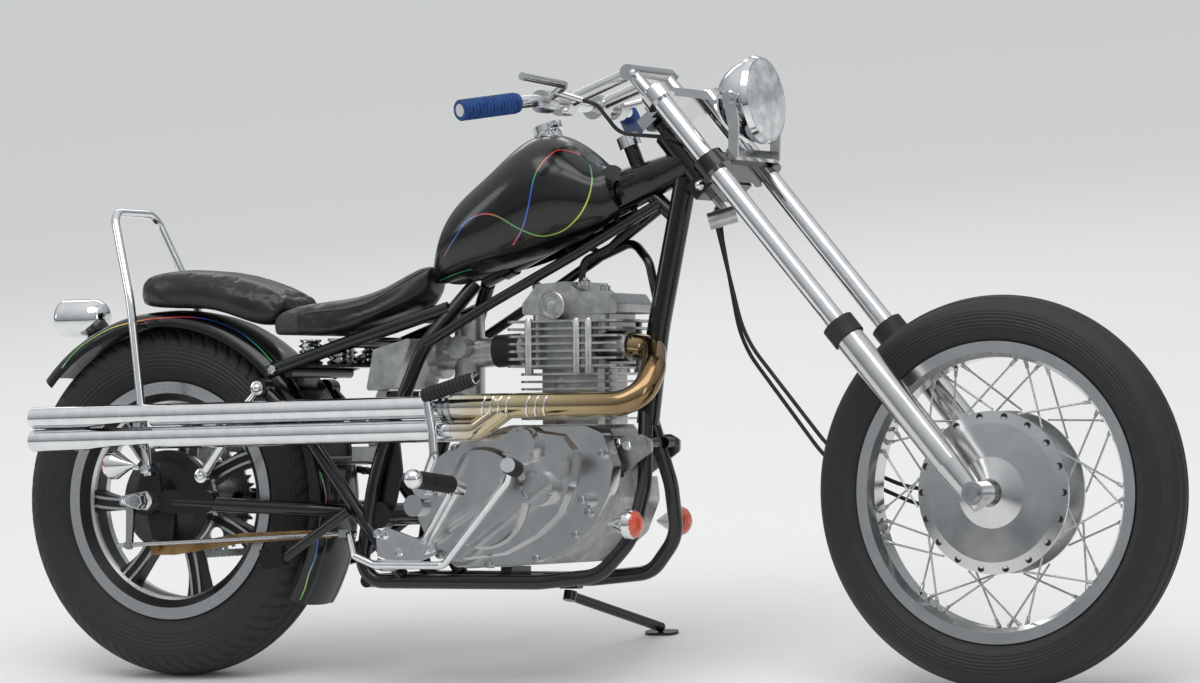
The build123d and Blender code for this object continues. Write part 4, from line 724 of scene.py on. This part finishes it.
# Lamps
# Chromed steel shells with moulded acrylic lenses, and a headlight whose
# pressed glass is finely ribbed upright in front of a bright reflector.
def ribbed_lens(name, settings, tint, roughness, bands, scale, depth, strength):
    """A coated material with fine moulded ribs, their depth in millimetres."""
    lens = coated(name, settings, tint, roughness)
    tree = lens.node_tree
    place = add_node(tree, "ShaderNodeTexCoord").outputs["Object"]
    ribs = add_node(tree, "ShaderNodeTexWave", {"Scale": scale, "Distortion": 0.0, "bands_direction": bands},
                    {"Vector": place})
    raised = add_node(tree, "ShaderNodeBump", {"Strength": strength, "Distance": depth / 1000},
                      {"Height": ribs.outputs["Fac"]})
    tree.links.new(raised.outputs["Normal"], tree.nodes["Principled BSDF"].inputs["Normal"])
    return lens


def acrylic(name, dark, light, glow):
    """Coloured moulded lens with fine ribs, lit a little from within by its reflector."""
    return ribbed_lens(
        name, {"Coat Weight": 1.0, "Coat Roughness": 0.02, "Emission Strength": glow, "Emission Color": linear(light),
               "Subsurface Weight": 0.2, "Subsurface Scale": 0.004},
        (14, 3, 0.5, dark, light), (0.08, 0.16), "Z", 62.0, 0.4, 0.6)


def bare(name, material, shows):
    """Give the faces of a CAD node whose middle passes a test their own finish."""
    mesh = nodes[name].data
    mesh.materials.append(material)
    index = len(mesh.materials) - 1
    for face in mesh.polygons:
        if shows(upright @ face.center):
            face.material_index = index


red_lens = acrylic("red acrylic", "7d0f0c", "b3211a", 0.05)
amber_lens = acrylic("orange red acrylic", "b5361c", "d9573a", 0.06)
tail_lens_behind, tail_height, tail_lens_radius = -246, 656, 32
tail_mount_ahead, tail_mount_top = -195, 628
right_lens_ahead, left_lens_ahead = 1004, 968
rear_lens_behind = -54
bare("tail_lamp", red_lens,
     lambda p: p.x < tail_lens_behind and sqrt(p.y**2 + (p.z - tail_height)**2) < tail_lens_radius)
bare("tail_lamp", enamel, lambda p: p.x > tail_mount_ahead and p.z < tail_mount_top)
bare("front_indicators", amber_lens, lambda p: p.x > (right_lens_ahead if p.y < 0 else left_lens_ahead))
bare("rear_indicators", amber_lens, lambda p: p.x < rear_lens_behind)

glass = ribbed_lens("ribbed headlight glass", {"Metallic": 0.45, "Coat Weight": 1.0, "Coat Roughness": 0.02},
                    (26, 2, 0.5, "b9c0c4", "f4f6f6"), (0.06, 0.2), "Y", 48.0, 0.6, 0.8)
lamp_tilt = radians(6)
lamp_back = Vector((1108.9, 0, 999.7))
lamp_way = Vector((cos(lamp_tilt), 0, sin(lamp_tilt)))
lamp_up = Vector((-sin(lamp_tilt), 0, cos(lamp_tilt)))
lens_from = 93.0
bare("headlight", glass, lambda p: (p - lamp_back).dot(lamp_way) > lens_from)
lens_radius = 68.0
lens_seat = 94.8
lens_rise = 11.0
lens_thickness = 2.5
rib_pitch, rib_rise, plain_edge = 6.0, 0.9, 4
lens_rings = 44
lens_steps = 144
shape = bmesh.new()
rings = []
for ring in range(lens_rings + 1):
    out = lens_radius * ring / lens_rings
    row = []
    for k in range(lens_steps if ring else 1):
        turn = 2 * pi * k / lens_steps
        aside, above = out * cos(turn), out * sin(turn)
        along = lens_seat + lens_rise * (1 - (out / lens_radius) ** 2)
        if out < lens_radius - plain_edge:
            along += rib_rise * abs(sin(pi * aside / rib_pitch))
        row.append(shape.verts.new(lamp_back + lamp_way * along + Vector((0, 1, 0)) * aside + lamp_up * above))
    rings.append(row)
rings.append([shape.verts.new(v.co - lamp_way * lens_thickness) for v in rings[-1]])
for near, far in zip(rings, rings[1:]):
    for k in range(lens_steps):
        after = (k + 1) % lens_steps
        corners = [near[k % len(near)], near[after % len(near)], far[after % len(far)], far[k % len(far)]]
        shape.faces.new([c for i, c in enumerate(corners) if c not in corners[:i]])
shape.faces.new(rings[-1])
drawn("headlight_lens", shape, glass, "steering", 50)

# Exhaust
# Mild steel chromed over, turned straw and brown by heat where it leaves the
# head, with pressed louvres on the pipe's heat shield.
heated = new_material("heat tinted chrome")
tree = heated.node_tree
place = add_node(tree, "ShaderNodeTexCoord").outputs["Object"]
along = add_node(tree, "ShaderNodeSeparateXYZ", (), {"Vector": place}).outputs["X"]
blotch = add_node(tree, "ShaderNodeTexNoise", {"Scale": 1000 / 40, "Detail": 4, "Roughness": 0.5}, {"Vector": place})
heat = add_node(tree, "ShaderNodeMapRange", {"From Min": -0.20, "From Max": 0.20, "To Min": 0.0, "To Max": 0.85},
                {"Value": along})
mixed = add_node(tree, "ShaderNodeMath", {"operation": "MULTIPLY_ADD", 1: 0.3},
                 {0: blotch.outputs[0], 2: heat.outputs[0]})
tint = add_node(tree, "ShaderNodeValToRGB", (), {"Fac": mixed.outputs[0]})
tint.color_ramp.elements.new(0.5)
for element, (where, code) in zip(tint.color_ramp.elements, [(0.1, "d6d6d7"), (0.45, "c3b592"), (1.0, "8d7454")]):
    element.position = where
    element.color = linear(code)
varied = add_node(tree, "ShaderNodeMapRange", {"From Min": 0.3, "From Max": 0.7, "To Min": 0.07, "To Max": 0.2},
                  {"Value": blotch.outputs[0]})
finish(tree, {"Metallic": 1.0}, {"Base Color": tint.outputs["Color"], "Roughness": varied.outputs["Result"]})
dress(heated, "exhaust_header")
pipe_side, pipe_height = -164, 485
louvre_out, louvre_thick, louvre_slant = 22.6, 2.0, 4
shape = bmesh.new()
for x in (740, 756, 772, 788, 828, 845, 862):
    angles = [radians(a) for a in range(-48, 49, 12)]
    swept(shape, [(x + louvre_slant * sin(a), pipe_side - louvre_out * cos(a), pipe_height + louvre_out * sin(a))
                  for a in angles], louvre_thick, 8, 2)
drawn("shield_louvres", shape, chrome, "chassis")
clamp_profile = [(0, 22.2), (0, 25.5), (8, 25.5), (8, 22.2)]
shape = bmesh.new()
for x in (655, 668):
    turned(shape, (x - 4, pipe_side, pipe_height), (1, 0, 0), clamp_profile, 48)
drawn("header_clamp", shape, zinc, "chassis")

# Rubbers
# Black moulded rubbers with square ribs, pushed over the pegs, pedals and
# bars; the hand grips are the same in blue.
def ribbed(name, start, end, radius, pitch, material, body):
    """A rubber sleeve whose ribs stand a little proud of its CAD form."""
    start, end = Vector(start), Vector(end)
    long = (end - start).length
    inside, valley, crest = radius - 3, radius + 0.3, radius + 1.6
    profile = [(0.6, inside), (0.6, valley)]
    at = 2.0
    while at + pitch < long - 2:
        profile += [(at, valley), (at + 0.3, crest), (at + pitch * 0.55, crest), (at + pitch * 0.55 + 0.3, valley)]
        at += pitch
    profile += [(long - 0.6, valley), (long - 0.6, inside)]
    shape = bmesh.new()
    turned(shape, start, end - start, profile, 40)
    return drawn(name, shape, material, body)


for side, hand in ((-1, "right"), (1, "left")):
    ribbed("grip_ribs_" + hand, (776, side * 318, 990), (824, side * 204, 1007), 17, 7.5, grip_rubber, "steering")
    ribbed("peg_rubber_" + hand, (705, side * 236, 350), (693, side * 334, 360.8), 14, 8, moulded, "chassis")
ribbed("kick_rubber", (630, -198.2, 503.6), (738, -205.8, 533.4), 11.2, 8, moulded, "chassis")
ribbed("brake_pad_rubber", (818.5, -210, 376.2), (831.5, -260, 383.8), 13.2, 7, moulded, "chassis")

# Fasteners
# Chromed cap screws, hexagon nuts and domed nuts that hold the covers,
# plates, yokes and wheels; each kind is one pattern set down on its seats.
def fixings(name, profile, flats, spots, material, body):
    """Stand one turned pattern on each spot, given as its place, its way and its size."""
    shape = bmesh.new()
    turned(shape, (0, 0, 0), (0, 0, 1), profile, flats)
    bmesh.ops.recalc_face_normals(shape, faces=shape.faces)
    pattern_mesh = bpy.data.meshes.new(name + "_pattern")
    shape.to_mesh(pattern_mesh)
    shape.free()
    pattern_mesh.transform(Matrix.Scale(0.001, 4))
    pattern = bpy.data.objects.new(name + "_pattern", pattern_mesh)
    cloud = bpy.data.meshes.new(name)
    cloud.from_pydata([stance @ Vector(place) for place, _, _ in spots], [], [])
    cloud.attributes.new("way", "FLOAT_VECTOR", "POINT")
    cloud.attributes.new("size", "FLOAT", "POINT")
    turn = stance.to_3x3()
    for k, (_, way, size) in enumerate(spots):
        cloud.attributes["way"].data[k].vector = (turn @ Vector(way)).normalized()
        cloud.attributes["size"].data[k].value = size
    holder = bpy.data.objects.new(name, cloud)
    bpy.context.scene.collection.objects.link(holder)
    tree = bpy.data.node_groups.new(name + " layout", "GeometryNodeTree")
    tree.interface.new_socket("Spots", in_out="INPUT", socket_type="NodeSocketGeometry")
    socket = tree.interface.new_socket("Pattern", in_out="INPUT", socket_type="NodeSocketObject")
    finish_socket = tree.interface.new_socket("Finish", in_out="INPUT", socket_type="NodeSocketMaterial")
    tree.interface.new_socket("Made", in_out="OUTPUT", socket_type="NodeSocketGeometry")
    given = add_node(tree, "NodeGroupInput")
    form = add_node(tree, "GeometryNodeObjectInfo", (), {"Object": given.outputs["Pattern"]})
    way = add_node(tree, "GeometryNodeInputNamedAttribute", {"data_type": "FLOAT_VECTOR", "Name": "way"})
    size = add_node(tree, "GeometryNodeInputNamedAttribute", {"data_type": "FLOAT", "Name": "size"})
    aim = add_node(tree, "FunctionNodeAlignRotationToVector", {"axis": "Z"}, {"Vector": way.outputs["Attribute"]})
    set_down = add_node(tree, "GeometryNodeInstanceOnPoints", (), {
        "Points": given.outputs["Spots"], "Instance": form.outputs["Geometry"], "Rotation": aim.outputs[0],
        "Scale": size.outputs["Attribute"]})
    whole = add_node(tree, "GeometryNodeRealizeInstances", (), {"Geometry": set_down.outputs[0]})
    coat = add_node(tree, "GeometryNodeSetMaterial", (), {"Geometry": whole.outputs[0],
                                                          "Material": given.outputs["Finish"]})
    add_node(tree, "NodeGroupOutput", (), {"Made": coat.outputs[0]})
    layout = holder.modifiers.new("layout", "NODES")
    layout.node_group = tree
    layout[socket.identifier] = pattern
    layout[finish_socket.identifier] = material
    made = bpy.data.meshes.new_from_object(holder.evaluated_get(bpy.context.evaluated_depsgraph_get()))
    holder.modifiers.clear()
    holder.data = made
    made.materials.clear()
    made.materials.append(material)
    made.shade_smooth()
    made.set_sharp_from_angle(angle=radians(35))
    bpy.data.objects.remove(pattern)
    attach(holder, body)
    return holder


def seat_on(node, start, way):
    """Where a line from a place along a way first meets a CAD node, or None."""
    return panel(node).ray_cast(Vector(start), Vector(way).normalized())[0]


def seats(node, places, sides=(-1,), least=0):
    """Where fasteners sit on a node's sides, with the way they face, from their x, z and size."""
    spots = []
    for x, z, size in places:
        for side in sides:
            hit = seat_on(node, (x, side * 400, z), (0, -side, 0))
            if hit is not None and abs(hit.y) > least:
                spots.append((hit, (0, side, 0), size))
    return spots


cap_screw = [(-0.4, 1), (0.55, 1), (0.72, 0.84), (0.72, 0.5), (0.3, 0.44), (0.3, 0)]
hexagon_nut = [(-0.3, 1), (0.62, 1), (0.74, 0.86), (0.74, 0.55), (1.05, 0.5), (1.1, 0)]
domed_nut = [(-0.3, 1), (0.25, 1), (0.4, 0.86), (0.62, 0.78), (0.86, 0.56), (0.98, 0.28), (1.02, 0)]
axle_nut_side = 146
fixings("cover_screws", cap_screw, 20, seats("right_cover", [
    (934, 402, 7), (878, 262, 7), (905, 300, 7), (900, 322, 8), (800, 220, 7), (705, 210, 7), (606, 226, 7),
    (566, 346, 7), (640, 412, 7), (700, 436, 7), (788, 441, 3.5), (760, 404, 3.5), (814, 400, 3.5),
    (824, 369, 4), (848, 330, 4), (801, 329, 4)]) + seats("left_cover", [
        (580, 260, 7), (600, 400, 7), (700, 405, 7), (800, 400, 7), (880, 380, 7), (890, 260, 7), (760, 245, 7),
        (660, 245, 7)], (1,)), zinc, "chassis")
fixings("frame_nuts", hexagon_nut, 6,
        seats("engine_plates", [(935, 420, 9), (955, 415, 9), (925, 380, 9)])
        + seats("sissy_bar", [(12, 378, 8), (-15, 355, 8)])
        + seats("frame", [(243, 521, 9), (274, 554, 9)], (-1, 1), 60)
        + seats("footpegs", [(507, 260, 8), (536, 230, 8), (602, 237, 8), (494, 263, 8)]), chrome, "chassis")
fixings("yoke_bolts", domed_nut, 24,
        seats("lower_yoke", [(1097, 877, 9), (1110, 861, 9)], (-1, 1))
        + seats("risers", [(835, 1010, 6), (850, 998, 6), (985, 1060, 6)], (-1, 1)), chrome, "steering")
fixings("rear_axle_nuts", hexagon_nut, 6,
        [((0, side * axle_nut_side, rear_axle.z), (0, side, 0), 14) for side in (-1, 1)], zinc, "chassis")

# Chain adjusters and lock
# Chromed teardrop plates behind the axle nuts with their drawbolts, and the
# round face of the steering lock with its key slot.
plate_radius, plate_steps = 15, 36
plate_rims = [(137.5, 1.5), (139, 0), (141.5, 0), (143, 1.5)]
drawbolt = [(0, 4), (2, 5), (6, 5), (7, 3.2), (30, 3.2), (30, 0)]
for side, hand in ((-1, "right"), (1, "left")):
    shape = bmesh.new()
    rims = []
    for out, inset in plate_rims:
        size = plate_radius - inset
        ring = []
        for k in range(plate_steps):
            x, z = size * cos(2 * pi * k / plate_steps), size * sin(2 * pi * k / plate_steps)
            if x < 0:
                x, z = x * 2.3, z * (1 + 0.45 * x / size)
            ring.append(shape.verts.new((x - 2, side * out, rear_axle.z + z)))
        rims.append(ring)
    for near, far in zip(rims, rims[1:]):
        for k in range(plate_steps):
            after = (k + 1) % plate_steps
            shape.faces.new((near[k], near[after], far[after], far[k]))
    shape.faces.new(rims[0])
    shape.faces.new(rims[-1])
    turned(shape, (-46, side * 130, rear_axle.z), (1, 0, 0), drawbolt, 20)
    drawn("chain_adjuster_" + hand, shape, chrome, "chassis")
lock_way = Vector((0.92, -0.1, -0.36)).normalized()
lock_profile = [(-0.5, 11), (1.2, 11), (2, 10), (2, 7), (1.2, 6.4), (1.2, 0)]
shape = bmesh.new()
turned(shape, seat_on("lock_switch", Vector((1124, -19, 815)) - lock_way * 200, lock_way), -lock_way, lock_profile, 32)
drawn("lock_face", shape, chrome, "steering")

# Front hub and rim
# Spun and polished drum with a ring of drilled holes, whose dark insides are
# painted shade on flat satin black discs, and brass nipples plated bright
# where each spoke enters the rim.
hole_ring, hole_count = 129, 18
turns = [2 * pi * k / hole_count for k in range(hole_count)]
# The holes are flat satin black discs on the hub's face: painted shade, not openings.
fixings("hub_holes", [(-0.05, 1.3), (0.1, 1.3), (0.14, 1.1), (0.02, 0.95), (0.02, 0)], 20,
        seats("front_hub", [(front_axle.x + hole_ring * cos(turn), front_axle.z + hole_ring * sin(turn), 4.6)
                            for turn in turns]), black_paint_and_hole_shade, "front_wheel")


def strands(name):
    """Each separate rod of a CAD node, as upright places, in the same order each run."""
    shape = bmesh.new()
    shape.from_mesh(nodes[name].data)
    bmesh.ops.remove_doubles(shape, verts=shape.verts, dist=0.00002)
    seen = set()
    rods = []
    for seed in shape.verts:
        if seed in seen:
            continue
        seen.add(seed)
        rod = [seed]
        for vertex in rod:
            for link in vertex.link_edges:
                other = link.other_vert(vertex)
                if other not in seen:
                    seen.add(other)
                    rod.append(other)
        rods.append([upright @ v.co for v in rod])
    shape.free()
    return rods


spots = []
spoke_end = 12
for rod in strands("front_spokes"):
    from_axle = [(Vector((p.x, 0, p.z)) - front_axle).length for p in rod]
    outer = [p for p, r in zip(rod, from_axle) if r > max(from_axle) - spoke_end]
    inner = [p for p, r in zip(rod, from_axle) if r < min(from_axle) + spoke_end]
    if max(from_axle) > 200:
        tip = sum(outer, Vector()) / len(outer)
        root = sum(inner, Vector()) / len(inner)
        way = (root - tip).normalized()
        spots.append((tip - way * 2, way, 3.4))
nipple = [(0, 1.15), (1.4, 1.15), (1.6, 1), (4.6, 0.9), (4.8, 0.55), (4.8, 0)]
fixings("spoke_nipples", nipple, 10, spots, zinc, "front_wheel")

# Cylinder head
# Long studs clamp head and cylinder; their bright shanks cross the fins, and
# small covers close the ends of the cam boxes.
stud = [(0, 7), (0, 7.5), (92, 7.5), (96, 5), (96, 0)]
end_cover = [(0, 25), (3, 25), (5, 23), (5, 18), (3.4, 17), (3.4, 8), (5.4, 7), (6, 5), (6, 0)]
plug = [(0, 9), (8, 9), (10, 7), (10, 4.5), (14, 4), (14, 0)]
shape = bmesh.new()
for x in (781, 876, 900):
    for side in (-1, 1):
        turned(shape, (x, side * 91, 541), (0, 0, 1), stud, 20)
drawn("head_studs", shape, cast_alloy, "chassis")
shape = bmesh.new()
turned(shape, (826, -87, 660), (0, -1, 0), end_cover, 48)
for place in [(776, -50, 690), (872, -50, 694), (906, -40, 684)]:
    turned(shape, place, (0, 0, 1), plug, 20)
drawn("cam_cover_trim", shape, cast_alloy, "chassis")
